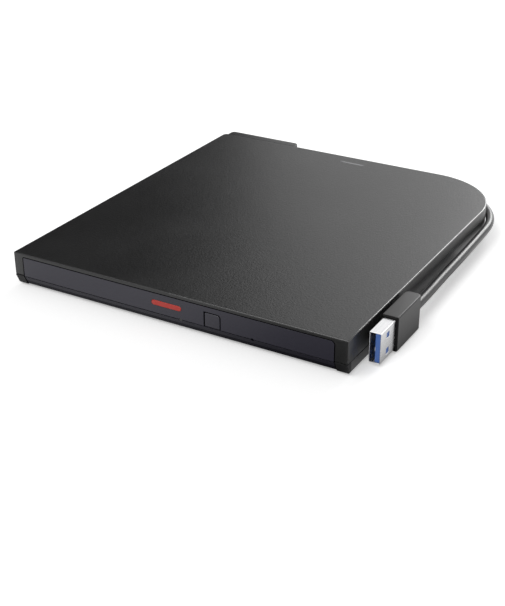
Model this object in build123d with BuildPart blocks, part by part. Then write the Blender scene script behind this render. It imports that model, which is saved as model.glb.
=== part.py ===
from build123d import *

import math
import os

# A slim portable disc drive: a flat two-part case with a slim tray mechanism inside,
# a short fixed lead that is stored round the case, and a plug on the lead's end.
# Millimetres. +X is to the right, +Y to the back and +Z up. The origin lies under the
# middle of the case and its rear block, on the surface that the feet stand on.

os.makedirs("parts", exist_ok=True)

# Case
case_width = 145.0
case_depth = 160.0
case_height = 14.0
lid_thickness = 1.3
wall = 1.5
floor_thickness = 1.2
seam_height = 4.8
seam_gap = 0.3
big_corner = 32.0
small_corner = 2.5
lid_edge_round = 0.35
base_edge_round = 0.8
label_length = 66.0
label_width = 38.0
label_corner = 1.5
label_depth = 0.2
front_slope_back = 1.9
front_slope_drop = 0.4

# Feet, and the screws that close the case from below
foot_height = 0.6
foot_radius = 4.5
foot_recess = 0.4
foot_inset_x = 12.0
foot_inset_y = 13.0
screw_post_radius = 2.4
screw_post_inset = 4.9
screw_post_setback = 16.0
case_screw_radius = 1.0
case_screw_length = 8.0
case_screw_head_radius = 1.9
case_screw_head_height = 1.2
case_screw_sink = 0.3
screw_slack = 0.15
thread_slack = 0.02

# Tray front
ear_left = 4.1
ear_right = 4.9
bezel_gap = 0.4
bezel_thickness = 2.2
bezel_corner = 1.3
bezel_left_corner = 0.5
bezel_lip_depth = 4.3
bezel_lip_thickness = 1.2
bezel_edge_round = 0.25
groove_height = 4.45
groove_width = 0.4
groove_depth = 0.5
under_clearance = 0.1

# What the tray front carries
bar_length = 13.1
bar_height = 2.2
bar_depth = 0.6
bar_proud = 0.1
bar_from_left = 71.2
bar_drop = 5.4
button_width = 6.6
button_from_left = 90.9
button_drop = 3.9
button_gap = 0.3
button_corner = 1.1
button_small_corner = 0.3
button_flange = 0.7
button_flange_thickness = 0.7
button_travel = 0.5
indicator_radius = 0.75
indicator_from_left = 77.1
hole_radius = 0.6
hole_from_left = 107.5
hole_height = 4.15

# Rear block, gland and lead
block_width = 37.0
block_depth = 5.0
block_inset = 1.5
block_gap = 0.25
block_wall = 1.0
block_drop = 0.2
block_corner = 2.2
cord_diameter = 3.6
cord_height = 7.2
cord_wall_gap = 0.6
cord_bend_gap = 0.2
gland_radius = 2.25
gland_tip_radius = 1.95
gland_neck_radius = 1.9
gland_length = 10.0
gland_flange_thickness = 1.2
gland_rib_width = 0.8
gland_rib_count = 3
wire_radius = 0.35
wire_pitch = 0.85
wire_count = 5
wire_bend = 2.5
wire_slot_width = 4.6
wire_slot_from_left = 16.5
wire_slot_drop = 1.4

# Plug, standing on edge beside the case
shell_width = 12.0
shell_thickness = 4.5
shell_length = 11.8
shell_wall = 0.3
shell_seat = 3.0
shell_setback = 12.2
window_length = 2.5
window_height = 2.2
window_spacing = 6.4
window_from_mouth = 6.0
tongue_thickness = 1.9
tongue_clearance = 0.1
tongue_setback = 0.3
contact_count = 4
contact_pitch = 2.4
contact_width = 1.0
contact_length = 6.5
contact_thickness = 0.1
contact_setback = 1.2
grip_width = 13.8
grip_thickness = 6.6
grip_length = 22.0
grip_round = 0.6
grip_front_round = 1.0
grip_back_round = 2.2
plug_stand_off = 1.1

# Slim mechanism: pan, lid and fixed guides
drive_side_room = 8.5
drive_rear_room = 29.5
drive_height = 9.5
drive_setback = 4.5
drive_lift = 0.7
pan_sheet = 0.5
pan_wall_height = 8.0
lid_sheet = 0.4
lid_side_flange = 5.0
lid_back_flange = 3.0
dome_radius = 18.0
dome_rise = 0.4
sheet_gap = 0.05
guide_width = 3.45
guide_height = 4.0
guide_wall = 0.5
guide_web = 0.9
guide_rear_gap = 6.5
guide_start = 0.5
rail_sheet = 0.4
rail_gap = 0.1
rail_reach = 2.6
rail_rear_gap = 9.5

# Tray
tray_side_gap = 1.4
tray_rear_gap = 5.0
tray_top_drop = 1.0
tray_rim_height = 3.3
dish_rim = 2.0
dish_front_rim = 0.7
dish_depth = 2.4
tray_rear_corner = 7.0
finger_radius = 8.0
skirt_thickness = 1.6
skirt_height = 3.6
tongue_reach = 2.8
tongue_gap = 0.1
front_wall_thickness = 1.3

# Traverse: the sprung sub-frame with the spindle and the pickup, set across the tray
traverse_angle = 225.0
frame_sheet = 0.8
frame_clearance = 0.4
frame_tail = 24.0
frame_nose_gap = 4.5
frame_left = 15.5
frame_right = 21.0
frame_left_cut = 3.0
frame_right_cut = 5.5
slot_start = 15.2
slot_end_gap = 9.1
slot_half_width = 10.9
window_tail = 19.0
window_nose_gap = 9.5
window_half_width = 14.6
window_corner = 4.0
cover_gap = 0.4
cover_sheet = 0.4
cover_leg_width = 4.0
cover_slot_half_width = 5.6
cover_slot_inset = 1.4
cover_leg_start = 24.0
cover_leg_end_gap = 20.0
damper_tail = 22.0
damper_side = 15.0
damper_skirt_gap = 6.24
damper_radius = 3.0
damper_neck = 1.95
damper_bore = 1.15
damper_below = 1.1
damper_boss = 1.0
damper_screw_radius = 0.6
damper_head_radius = 2.2
damper_head_height = 0.6
ear_radius = 3.6

# Spindle motor and turntable
motor_base_radius = 13.0
motor_base_thickness = 0.7
motor_ring = 1.2
motor_base_drop = 1.2
bearing_radius = 2.4
shaft_radius = 1.0
shaft_slack = 0.04
can_radius = 10.5
can_wall = 0.5
can_height = 2.4
stator_radius = 9.4
stator_height = 1.2
stator_teeth = 9
stator_slot = 1.0
turntable_radius = 14.0
turntable_thickness = 0.85
pad_thickness = 0.25
pad_inner_radius = 10.6
pad_outer_radius = 13.6
hub_radius = 7.4
hub_height = 2.15
hub_chamfer = 0.7
claw_count = 3
claw_width = 2.2
claw_height = 1.0
claw_inner = 4.4
claw_outer = 7.9
claw_travel = 0.5
claw_gap = 0.1
claw_rise = 0.75

# Pickup, its rods and its screw
rod_radius = 1.0
rod_side = 12.4
rod_block = 3.0
rod_block_half = 1.6
rod_slack = 0.05
seat_slack = 0.01
sled_inner = 7.5
sled_outer = 5.2
sled_half_width = 10.2
sled_height = 3.6
sled_lift = 0.6
lens_start = 23.5
bearing_length = 13.0
fork_length = 5.0
screw_side = 17.0
screw_end_gap = 7.0
screw_end_block = 2.5
nut_length = 4.0
nut_wall = 1.1
nut_slack = 0.1
sled_motor_start = 8.0
sled_motor_length = 9.0
sled_motor_radius = 2.9
sled_motor_half_height = 1.8
well_length = 8.4
well_width = 9.0
well_floor = 1.0
holder_length = 6.6
holder_width = 7.6
holder_height = 2.2
holder_lift = 0.6
holder_ring_radius = 2.9
lens_radius = 2.1
lens_rise = 0.55
focus_travel = 0.25

# Latch, solenoid and eject switch
post_radius = 1.0
post_side_gap = 14.0
post_setback = 12.5
latch_pivot_gap = 3.2
latch_pivot_setback = 24.5
latch_pin_radius = 0.75
latch_slack = 0.04
latch_hub_radius = 1.7
latch_thickness = 1.1
latch_arm_width = 1.8
latch_arm_length = 10.4
latch_nose = 1.6
latch_nose_cover = 1.6
latch_open_angle = 13.0
solenoid_width = 4.2
solenoid_length = 9.0
plunger_radius = 0.8
switch_width = 5.0
switch_depth = 3.5
switch_height = 3.4
switch_nub_radius = 0.9
switch_gap = 0.1
front_board_width = 26.0
front_board_depth = 6.5
board_thin = 0.6

# Boards and connectors behind the mechanism
board_thickness = 1.0
drive_board_thickness = 0.8
drive_board_front_gap = 95.0
drive_board_left_gap = 9.0
drive_board_right_gap = 18.0
ribbon_width = 12.0
ribbon_thickness = 0.16
ribbon_side_gap = 25.0
ribbon_front_setback = 22.5
ribbon_rise = 1.8
ribbon_gap = 0.03
bridge_left_gap = 24.5
bridge_right_gap = 44.5
bridge_front_gap = 6.5
bridge_lift = 2.2
plug_row_width = 34.0
plug_row_height = 4.0
plug_row_depth = 4.5
plug_row_proud = 1.0
plug_row_side_gap = 37.0
lead_socket_width = 6.0
lead_socket_depth = 5.0
lead_socket_height = 4.4
pipe_length = 12.7
pipe_width = 0.9
pipe_from_back = 7.2
pipe_flange = 1.0
pipe_stem_length = 5.0
pipe_stem_width = 2.4
pad_size = 11.0
pad_inset_x = 19.0
pad_inset_y = 16.0
bracket_width = 12.0
bracket_sheet = 0.8
bracket_foot = 6.0
small_screw_radius = 0.8
small_screw_length = 2.8
small_head_radius = 1.4
small_head_height = 0.6

# Places that follow from the sizes above
front_y = -(case_depth + block_depth) / 2
back_y = front_y + case_depth
left_x = -case_width / 2
right_x = case_width / 2
base_z = foot_height
lid_z = base_z + case_height
seam_z = base_z + seam_height
floor_z = base_z + floor_thickness
ceiling_z = lid_z - lid_thickness
opening_x = (left_x + ear_left, right_x - ear_right)
bezel_x = (opening_x[0] + bezel_gap, opening_x[1] - bezel_gap)
bezel_back_y = front_y + bezel_thickness
bezel_top_z = ceiling_z - bezel_gap
groove_z = base_z + groove_height
drive_width = case_width - 2 * drive_side_room
drive_depth = case_depth - drive_setback - drive_rear_room
drive_z = floor_z + drive_lift
pan_floor_z = drive_z + pan_sheet
drive_top_z = drive_z + drive_height
drive_under_lid_z = drive_top_z - lid_sheet
drive_front_y = front_y + drive_setback
drive_back_y = drive_front_y + drive_depth
lid_flange_x = drive_width / 2
pan_outer_x = lid_flange_x - lid_sheet - sheet_gap
pan_inner_x = pan_outer_x - pan_sheet
pan_inner_back_y = drive_back_y - pan_sheet
tray_top_z = drive_under_lid_z - tray_top_drop
tray_under_z = tray_top_z - tray_rim_height
dish_z = tray_top_z - dish_depth
tray_width = drive_width - 2 * tray_side_gap
tray_back_y = drive_back_y - tray_rear_gap
dish_radius = tray_width / 2 - dish_rim
spindle_y = bezel_back_y + dish_front_rim + dish_radius
guide_z = (pan_floor_z + guide_wall, pan_floor_z + guide_height - guide_wall)
guide_web_x = pan_inner_x - guide_web
rail_z = (guide_z[0] + rail_gap, guide_z[1] - rail_gap)
rail_outer_x = guide_web_x - rail_gap
rail_front_y = drive_front_y + guide_start
guide_length = drive_depth - guide_start - guide_rear_gap
rail_length = drive_depth - guide_start - rail_rear_gap
tongue_z = (rail_z[0] + rail_sheet + tongue_gap, rail_z[1] - rail_sheet - tongue_gap)
tongue_outer_x = rail_outer_x - rail_sheet - tongue_gap
skirt_outer_x = tongue_outer_x - tongue_reach
skirt_z = tray_under_z - skirt_height
damper_nose = (skirt_outer_x - skirt_thickness - damper_skirt_gap) * math.sqrt(2)
frame_nose = damper_nose - frame_nose_gap
slot_end = damper_nose - slot_end_gap
window_nose = damper_nose - window_nose_gap
frame_top_z = tray_under_z - frame_clearance
frame_z = frame_top_z - frame_sheet
rod_z = frame_z - rod_radius - rod_slack * 2
screw_z = rod_z
sled_z = pan_floor_z + sled_lift
cover_z = dish_z - cover_sheet
disc_seat_z = dish_z + 0.8
turntable_z = disc_seat_z - pad_thickness - turntable_thickness
can_z = turntable_z - can_height
motor_base_z = frame_z - motor_base_drop - motor_base_thickness
hub_top_z = disc_seat_z - pad_thickness + hub_height
cord_radius = cord_diameter / 2
cord_y = back_y + cord_wall_gap + cord_radius
block_x = (left_x + block_inset, left_x + block_inset + block_width)
gland_tip_x = block_x[1] + gland_length
grip_x = right_x + plug_stand_off + grip_thickness / 2
shell_y = front_y + shell_setback
grip_y = shell_y + shell_length
grip_back_y = grip_y + grip_length
button_x = left_x + button_from_left
button_top_z = lid_z - button_drop
indicator_x = left_x + indicator_from_left
emergency_x = left_x + hole_from_left
emergency_z = base_z + hole_height
board_top_z = pan_floor_z + drive_board_thickness
board_front_y = drive_front_y + drive_board_front_gap
drive_board_depth = pan_inner_back_y - board_front_y
drive_board_x = (drive_board_left_gap - drive_width / 2, drive_width / 2 - drive_board_right_gap)
ribbon_x = drive_width / 2 - ribbon_side_gap
post_x = drive_width / 2 - post_side_gap
latch_pivot_x = post_x + latch_pivot_gap
plug_row_x = plug_row_side_gap - drive_width / 2
bridge_z = floor_z + bridge_lift
bridge_top_z = bridge_z + board_thickness
bridge_x = (left_x + bridge_left_gap, right_x - bridge_right_gap)
bridge_back_y = back_y - wall - 1.0
bridge_front_y = drive_back_y + bridge_front_gap
pipe_y = back_y - pipe_from_back

traverse = Plane(
    origin=(0, spindle_y, 0),
    x_dir=(math.cos(math.radians(traverse_angle)), math.sin(math.radians(traverse_angle)), 0),
    z_dir=(0, 0, 1),
)
dampers = [(-damper_tail, -damper_side), (-damper_tail, damper_side), (damper_nose, 0)]
feet = [
    (left_x + foot_inset_x, front_y + foot_inset_y),
    (right_x - foot_inset_x, front_y + foot_inset_y),
    (left_x + foot_inset_x, back_y - foot_inset_y),
    (right_x - big_corner * 0.85, back_y - foot_inset_y),
]
case_posts = [
    (left_x + screw_post_inset, front_y + screw_post_setback),
    (right_x - screw_post_inset, front_y + screw_post_setback),
    (left_x + screw_post_inset, drive_back_y - screw_post_setback),
    (right_x - big_corner * 0.45, back_y - big_corner * 0.6),
]
board_posts = [(bridge_x[0] + 12.0, bridge_back_y - 3.0), (bridge_x[1] - 4.0, bridge_back_y - 3.0)]


def block(x, y, z, mode=Mode.ADD):
    """A block in the piece being made, from the low to the high value of x, y and z."""
    with Locations(((x[0] + x[1]) / 2, (y[0] + y[1]) / 2, (z[0] + z[1]) / 2)):
        Box(x[1] - x[0], y[1] - y[0], z[1] - z[0], mode=mode)


def post(x, y, z, radius, mode=Mode.ADD):
    """An upright round post or hole in the piece being made."""
    with Locations((x, y, (z[0] + z[1]) / 2)):
        Cylinder(radius, z[1] - z[0], mode=mode)


def finish(piece, name):
    """Names the piece and writes it out."""
    piece.part.label = name
    export_step(piece.part, f"parts/{name}.step")


def case_outline(inset):
    """The case seen from above, with its sides moved in by inset."""
    with BuildSketch() as outline:
        with Locations((0, front_y + case_depth / 2)):
            Rectangle(case_width - 2 * inset, case_depth - 2 * inset)
        fillet(outline.vertices().group_by(Axis.Y)[-1].sort_by(Axis.X)[0], small_corner - inset)
        fillet(outline.vertices().group_by(Axis.Y)[-1].sort_by(Axis.X)[-1], big_corner - inset)
    return outline.sketch


def front_opening(grow):
    """The tray front's outline, larger all round by grow, with its rounded upper corners."""
    low = groove_z - 2 * groove_height
    high = bezel_top_z + grow
    with BuildSketch(Plane.XZ.offset(-front_y)) as opening:
        with Locations(((bezel_x[0] + bezel_x[1]) / 2, (low + high) / 2)):
            Rectangle(bezel_x[1] - bezel_x[0] + 2 * grow, high - low)
        top = opening.vertices().group_by(Axis.Y)[-1].sort_by(Axis.X)
        fillet(top[-1], bezel_corner + grow)
        top = opening.vertices().group_by(Axis.Y)[-1].sort_by(Axis.X)
        fillet(top[0], bezel_left_corner + grow)
    return opening.sketch


def screw(place, radius, length, head_radius, head_height):
    """A pan head screw whose shank points along the place's normal, with its head behind."""
    with Locations(place):
        Cylinder(radius, length, align=(Align.CENTER, Align.CENTER, Align.MIN))
        Cylinder(head_radius, head_height, align=(Align.CENTER, Align.CENTER, Align.MAX))


outer_outline = case_outline(0)
rim_outline = case_outline(wall / 2)
inner_outline = case_outline(wall)
case_opening = front_opening(bezel_gap)
bezel_outline = front_opening(0)
back_screws = [(block_x[0] + 5.0, lid_z - 3.4), (block_x[1] - 6.0, lid_z - 3.4)]
wire_slot_x = left_x + wire_slot_from_left

# The top cover is a moulded tray turned upside down: a flat top, thin side walls, and
# hollow posts that the case screws bite into. Its front wall is open for the tray.
with BuildPart() as top_cover:
    with BuildSketch(Plane.XY.offset(seam_z)):
        add(outer_outline)
    extrude(amount=lid_z - seam_z)
    fillet(top_cover.faces().sort_by(Axis.Z)[-1].edges(), lid_edge_round)
    with BuildSketch(Plane.XY.offset(seam_z)):
        add(inner_outline)
    extrude(amount=ceiling_z - seam_z, mode=Mode.SUBTRACT)
    extrude(case_opening, amount=-2 * wall, mode=Mode.SUBTRACT)
    for x, y in case_posts:
        post(x, y, (seam_z, ceiling_z), screw_post_radius)
        post(x, y, (seam_z, ceiling_z - 1), case_screw_radius + thread_slack, Mode.SUBTRACT)
    with BuildSketch(Plane.XY.offset(ceiling_z)):
        with Locations((0, pipe_y)):
            SlotOverall(pipe_length, pipe_width)
    extrude(amount=lid_thickness, mode=Mode.SUBTRACT)
    with BuildSketch(Plane.XZ.offset(-(back_y - wall))):
        with Locations(back_screws):
            Circle(small_screw_radius + screw_slack)
    extrude(amount=-wall, mode=Mode.SUBTRACT)
    block(
        (wire_slot_x, wire_slot_x + wire_slot_width),
        (back_y - wall, back_y),
        (seam_z, cord_height + wire_count * wire_pitch / 2 + 0.4),
        Mode.SUBTRACT,
    )
finish(top_cover, "top_cover")

# The base cover closes the case from below. Its rim stands inside the seam line, its
# front slopes back under the tray, and ribs and posts inside carry the mechanism. A
# shallow place for a label lies between the feet.
base_top_z = seam_z - seam_gap
with BuildPart() as base_cover:
    with BuildSketch(Plane.XY.offset(base_z)):
        add(outer_outline)
    extrude(amount=base_top_z - base_z)
    with BuildSketch(Plane.YZ):
        Polygon(
            (front_y - wall, base_top_z - front_slope_drop),
            (front_y, base_top_z - front_slope_drop),
            (front_y + front_slope_back, base_z),
            (front_y + front_slope_back, base_z - wall),
            (front_y - wall, base_z - wall),
            align=None,
        )
    extrude(amount=case_width, both=True, mode=Mode.SUBTRACT)
    fillet(base_cover.faces().sort_by(Axis.Z)[0].edges(), base_edge_round)
    with BuildSketch(Plane.XY.offset(base_top_z)):
        add(rim_outline)
    extrude(amount=seam_gap)
    with BuildSketch(Plane.XY.offset(floor_z)):
        add(inner_outline)
    extrude(amount=case_height, mode=Mode.SUBTRACT)
    block(
        opening_x,
        (front_y - wall, front_y + bezel_lip_depth + bezel_gap),
        (0, seam_z),
        Mode.SUBTRACT,
    )
    for x, y in case_posts:
        post(x, y, (floor_z, seam_z), screw_post_radius)
        post(x, y, (base_z, seam_z), case_screw_radius + screw_slack, Mode.SUBTRACT)
        post(
            x,
            y,
            (base_z, base_z + case_screw_sink + case_screw_head_height),
            case_screw_head_radius + screw_slack,
            Mode.SUBTRACT,
        )
    for x, y in feet:
        post(x, y, (base_z, base_z + foot_recess), foot_radius, Mode.SUBTRACT)
    with BuildSketch(Plane.XY.offset(base_z)):
        with Locations((0, back_y - case_depth / 2)):
            RectangleRounded(label_length, label_width, label_corner)
    extrude(amount=label_depth, mode=Mode.SUBTRACT)
    for y in (drive_front_y + 10, (drive_front_y + drive_back_y) / 2, drive_back_y - 12):
        block((-pan_inner_x, pan_inner_x), (y, y + wall), (floor_z, drive_z))
    for side in (-1, 1):
        for y in (drive_front_y + 25, drive_back_y - 30):
            x = sorted((side * (lid_flange_x + 0.3), side * (lid_flange_x + 0.3 + wall)))
            block(x, (y, y + 8), (floor_z, seam_z - seam_gap))
    for x, y in board_posts:
        post(x, y, (floor_z, bridge_z), screw_post_radius)
        post(x, y, (floor_z, bridge_z), small_screw_radius + thread_slack, Mode.SUBTRACT)
    bracket_post = (post_x, drive_back_y + lid_sheet + bracket_foot / 2 + bracket_sheet)
    post(*bracket_post, (floor_z, bridge_z), screw_post_radius)
    post(*bracket_post, (floor_z, bridge_z), small_screw_radius + thread_slack, Mode.SUBTRACT)
    block(
        (wire_slot_x, wire_slot_x + wire_slot_width),
        (back_y - wall, back_y),
        (seam_z - wire_slot_drop, seam_z),
        Mode.SUBTRACT,
    )
finish(base_cover, "base_cover")

# Four rubber feet sit in round recesses in the base.
with BuildPart() as rubber_feet:
    for x, y in feet:
        post(x, y, (0, base_z + foot_recess), foot_radius)
    chamfer(rubber_feet.faces().group_by(Axis.Z)[0].edges(), foot_height / 2)
finish(rubber_feet, "rubber_feet")

# Four pan head screws pass up through the base's posts into the lid's posts.
with BuildPart() as case_screws:
    for x, y in case_posts:
        screw(
            Location((x, y, base_z + case_screw_sink + case_screw_head_height)),
            case_screw_radius,
            case_screw_length,
            case_screw_head_radius,
            case_screw_head_height,
        )
finish(case_screws, "case_screws")

# The rear block is a hollow moulding screwed to the back wall. The lead is anchored in
# it, and its wires pass through a slot in the back wall to the board.
with BuildPart() as rear_block:
    with BuildSketch(Plane.XY.offset(base_z)) as block_plan:
        with Locations((sum(block_x) / 2, back_y + (block_gap + block_depth) / 2)):
            Rectangle(block_width, block_depth - block_gap)
        fillet(block_plan.vertices().group_by(Axis.Y)[-1], block_corner)
    extrude(amount=case_height - block_drop)
    fillet(rear_block.faces().sort_by(Axis.Z)[-1].edges(), lid_edge_round)
    block(
        (block_x[0] + block_wall, block_x[1] - block_wall),
        (back_y, back_y + block_gap),
        (base_z + block_wall, lid_z - lid_thickness),
    )
    block(
        (block_x[0] + 2 * block_wall, block_x[1] - 2 * block_wall),
        (back_y, back_y + block_depth - block_wall),
        (base_z + 2 * block_wall, lid_z - lid_thickness - block_wall),
        Mode.SUBTRACT,
    )
    with BuildSketch(Plane.XZ.offset(-back_y)):
        with Locations(back_screws):
            Circle(small_screw_radius * 2)
    extrude(amount=-(block_depth - block_wall))
    with BuildSketch(Plane.XZ.offset(-back_y)):
        with Locations(back_screws):
            Circle(small_screw_radius + thread_slack)
    extrude(amount=-(block_depth - 2 * block_wall), mode=Mode.SUBTRACT)
    with BuildSketch(Plane.YZ.offset(block_x[1])):
        with Locations((cord_y, cord_height)):
            Circle(gland_neck_radius + thread_slack)
    extrude(amount=-2 * block_wall, mode=Mode.SUBTRACT)
finish(rear_block, "rear_block")

# The gland is a ribbed rubber sleeve with a flange inside the block's end wall.
gland_axis = Axis((0, cord_y, cord_height), (1, 0, 0))
gland_start_x = block_x[1] - 2 * block_wall - gland_flange_thickness
rib_step = (gland_tip_x - block_x[1] - gland_rib_width) / gland_rib_count
with BuildPart() as cord_gland:
    with BuildSketch(Plane((0, cord_y, cord_height), x_dir=(1, 0, 0), z_dir=(0, -1, 0))):
        with BuildLine():
            Polyline(
                (gland_start_x, 0),
                (gland_start_x, gland_radius),
                (block_x[1] - 2 * block_wall, gland_radius),
                (block_x[1] - 2 * block_wall, gland_neck_radius),
                (block_x[1], gland_neck_radius),
                (block_x[1], gland_radius),
                (gland_tip_x, gland_tip_radius),
                (gland_tip_x, 0),
                close=True,
            )
        make_face()
        for rib in range(gland_rib_count):
            with Locations((block_x[1] + (rib + 0.8) * rib_step, gland_radius)):
                Rectangle(gland_rib_width, gland_radius - gland_tip_radius + 0.3, mode=Mode.SUBTRACT)
    revolve(axis=gland_axis)
    block(
        (gland_start_x, block_x[1] - 2 * block_wall),
        (back_y + block_depth - block_wall, back_y + 2 * block_depth),
        (cord_height - 2 * gland_radius, cord_height + 2 * gland_radius),
        Mode.SUBTRACT,
    )
finish(cord_gland, "cord_gland")

# The lead leaves the gland behind the case, follows the back wall, goes round the large
# corner and comes forward along the right side into the plug's grip.
cord_bend = big_corner + cord_radius + cord_bend_gap
corner_points = [
    (
        right_x - big_corner + cord_bend / math.cos(math.radians(15)) * math.cos(math.radians(angle)),
        back_y - big_corner + cord_bend / math.cos(math.radians(15)) * math.sin(math.radians(angle)),
    )
    for angle in (75, 45, 15)
]
cord_route = [
    (gland_tip_x, cord_y),
    (gland_tip_x + 17.0, cord_y),
    (gland_tip_x + 38.5, cord_y - 0.2),
    (right_x - 38.5, cord_y - 0.1),
    *corner_points,
    (right_x + 2.85, back_y - 43.0),
    (right_x + 3.5, grip_back_y + 48.0),
    (right_x + 3.8, grip_back_y + 28.5),
    (grip_x, grip_back_y + 12.0),
    (grip_x, grip_back_y),
]
cord_radii = []
for before, point, after in zip(cord_route, cord_route[1:], cord_route[2:]):
    incoming = Vector(*point) - Vector(*before)
    outgoing = Vector(*after) - Vector(*point)
    half_turn = math.radians(incoming.get_angle(outgoing)) / 2
    cord_radii.append(0.45 * min(incoming.length, outgoing.length) / math.tan(half_turn))
print("cord bend radii", [round(radius, 1) for radius in cord_radii])
with BuildPart() as usb_cord:
    with BuildLine() as cord_line:
        FilletPolyline(*[(x, y, cord_height) for x, y in cord_route], radius=cord_radii)
    with BuildSketch(Plane((gland_tip_x, cord_y, cord_height), z_dir=cord_line.line % 0)):
        Circle(cord_radius)
    sweep()
cord_length = cord_line.wires()[0].length
print("cord length", round(cord_length, 1))
print("cord volume", round(usb_cord.part.volume, 1))
print("section times length", round(math.pi * cord_radius**2 * cord_length, 1))
finish(usb_cord, "usb_cord")

# The plug's grip is moulded over the shell's back end, and stands on its narrow side.
shell_x = (grip_x - shell_thickness / 2, grip_x + shell_thickness / 2)
shell_z = (cord_height - shell_width / 2, cord_height + shell_width / 2)
with BuildPart() as plug_grip:
    block(
        (grip_x - grip_thickness / 2, grip_x + grip_thickness / 2),
        (grip_y, grip_back_y),
        (cord_height - grip_width / 2, cord_height + grip_width / 2),
    )
    fillet(plug_grip.faces().sort_by(Axis.Y)[-1].edges().filter_by(Axis.Z), grip_back_round)
    fillet(plug_grip.edges().filter_by(Axis.Y), grip_round)
    fillet(plug_grip.faces().sort_by(Axis.Y)[0].edges(), grip_front_round)
    block(shell_x, (grip_y, grip_y + shell_seat), shell_z, Mode.SUBTRACT)
finish(plug_grip, "plug_grip")

# The shell is a folded steel tube with two windows in each wide face.
with BuildPart() as plug_shell:
    block(shell_x, (shell_y, grip_y + shell_seat), shell_z)
    block(
        (shell_x[0] + shell_wall, shell_x[1] - shell_wall),
        (shell_y, grip_y + shell_seat),
        (shell_z[0] + shell_wall, shell_z[1] - shell_wall),
        Mode.SUBTRACT,
    )
    with Locations((grip_x, shell_y + window_from_mouth, cord_height)):
        for side in (-1, 1):
            with Locations((0, 0, side * window_spacing / 2)):
                Box(shell_thickness, window_length, window_height, mode=Mode.SUBTRACT)
finish(plug_shell, "plug_shell")

# The tongue is a plain insulating block against the shell's outer wide face, and fills
# the shell behind its hollow mouth.
tongue_x = (shell_x[1] - shell_wall - tongue_thickness, shell_x[1] - shell_wall)
tongue_z_range = (shell_z[0] + shell_wall + tongue_clearance, shell_z[1] - shell_wall - tongue_clearance)
with BuildPart() as plug_tongue:
    block(tongue_x, (shell_y + tongue_setback, grip_y + shell_seat), tongue_z_range)
    block((shell_x[0] + shell_wall, tongue_x[0]), (grip_y, grip_y + shell_seat), tongue_z_range)
finish(plug_tongue, "plug_tongue")

# Four gilt contacts lie on the tongue's inner face, and five short ones stand behind them.
with BuildPart() as plug_contacts:
    for row in range(contact_count):
        z = cord_height + (row - (contact_count - 1) / 2) * contact_pitch
        start = shell_y + tongue_setback + contact_setback
        block(
            (tongue_x[0] - contact_thickness, tongue_x[0]),
            (start, start + contact_length),
            (z - contact_width / 2, z + contact_width / 2),
        )
    for row in range(contact_count + 1):
        z = cord_height + (row - contact_count / 2) * contact_pitch * 0.8
        start = shell_y + tongue_setback + contact_setback + contact_length + 0.6
        block(
            (tongue_x[0] - 2 * contact_thickness, tongue_x[0]),
            (start, start + 1.6),
            (z - contact_width / 4, z + contact_width / 4),
        )
finish(plug_contacts, "plug_contacts")

# The mechanism's pan is pressed steel, open at the front and the top.
with BuildPart() as drive_pan:
    block(
        (-pan_outer_x, pan_outer_x),
        (drive_front_y, drive_back_y),
        (drive_z, pan_floor_z + pan_wall_height),
    )
    block(
        (-pan_inner_x, pan_inner_x),
        (drive_front_y, pan_inner_back_y),
        (pan_floor_z, pan_floor_z + pan_wall_height),
        Mode.SUBTRACT,
    )
    block(
        (plug_row_x - plug_row_width / 2, plug_row_x + plug_row_width / 2),
        (pan_inner_back_y, drive_back_y),
        (board_top_z, board_top_z + plug_row_height),
        Mode.SUBTRACT,
    )
finish(drive_pan, "drive_pan")

# The mechanism's lid is thinner sheet, domed over the turntable, with side and back flanges.
with BuildPart() as drive_lid:
    block(
        (-lid_flange_x, lid_flange_x),
        (drive_front_y, drive_back_y + lid_sheet),
        (drive_top_z - lid_side_flange, drive_top_z),
    )
    block(
        (-lid_flange_x + lid_sheet, lid_flange_x - lid_sheet),
        (drive_front_y, drive_back_y),
        (drive_top_z - lid_side_flange, drive_under_lid_z),
        Mode.SUBTRACT,
    )
    block(
        (-lid_flange_x, lid_flange_x),
        (drive_back_y, drive_back_y + lid_sheet),
        (drive_top_z - lid_side_flange, drive_top_z - lid_back_flange),
        Mode.SUBTRACT,
    )
    with Locations((0, spindle_y, drive_top_z)):
        Cylinder(dome_radius, dome_rise, align=(Align.CENTER, Align.CENTER, Align.MIN))
        Cylinder(
            dome_radius - lid_sheet,
            2 * dome_rise,
            align=(Align.CENTER, Align.CENTER, Align.CENTER),
            mode=Mode.SUBTRACT,
        )
finish(drive_lid, "drive_lid")


def mirrored_x(side, low, high):
    """A stretch of x on the left side, -1, or the right side, 1, in rising order."""
    return tuple(sorted((side * low, side * high)))


# On each side a moulded guide is fixed in the pan, a steel channel slides in it, and
# the tray's tongue slides in the channel.
for side, name in ((-1, "left"), (1, "right")):
    with BuildPart() as guide:
        block(
            mirrored_x(side, pan_inner_x - guide_width, pan_inner_x),
            (rail_front_y, rail_front_y + guide_length),
            (pan_floor_z, pan_floor_z + guide_height),
        )
        block(
            mirrored_x(side, pan_inner_x - guide_width, guide_web_x),
            (rail_front_y, rail_front_y + guide_length),
            guide_z,
            Mode.SUBTRACT,
        )
    finish(guide, f"guide_{name}")

    with BuildPart() as slide_rail:
        block(
            mirrored_x(side, rail_outer_x - rail_reach, rail_outer_x),
            (rail_front_y, rail_front_y + rail_length),
            rail_z,
        )
        block(
            mirrored_x(side, rail_outer_x - rail_reach, rail_outer_x - rail_sheet),
            (rail_front_y, rail_front_y + rail_length),
            (rail_z[0] + rail_sheet, rail_z[1] - rail_sheet),
            Mode.SUBTRACT,
        )
    finish(slide_rail, f"slide_rail_{name}")

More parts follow.
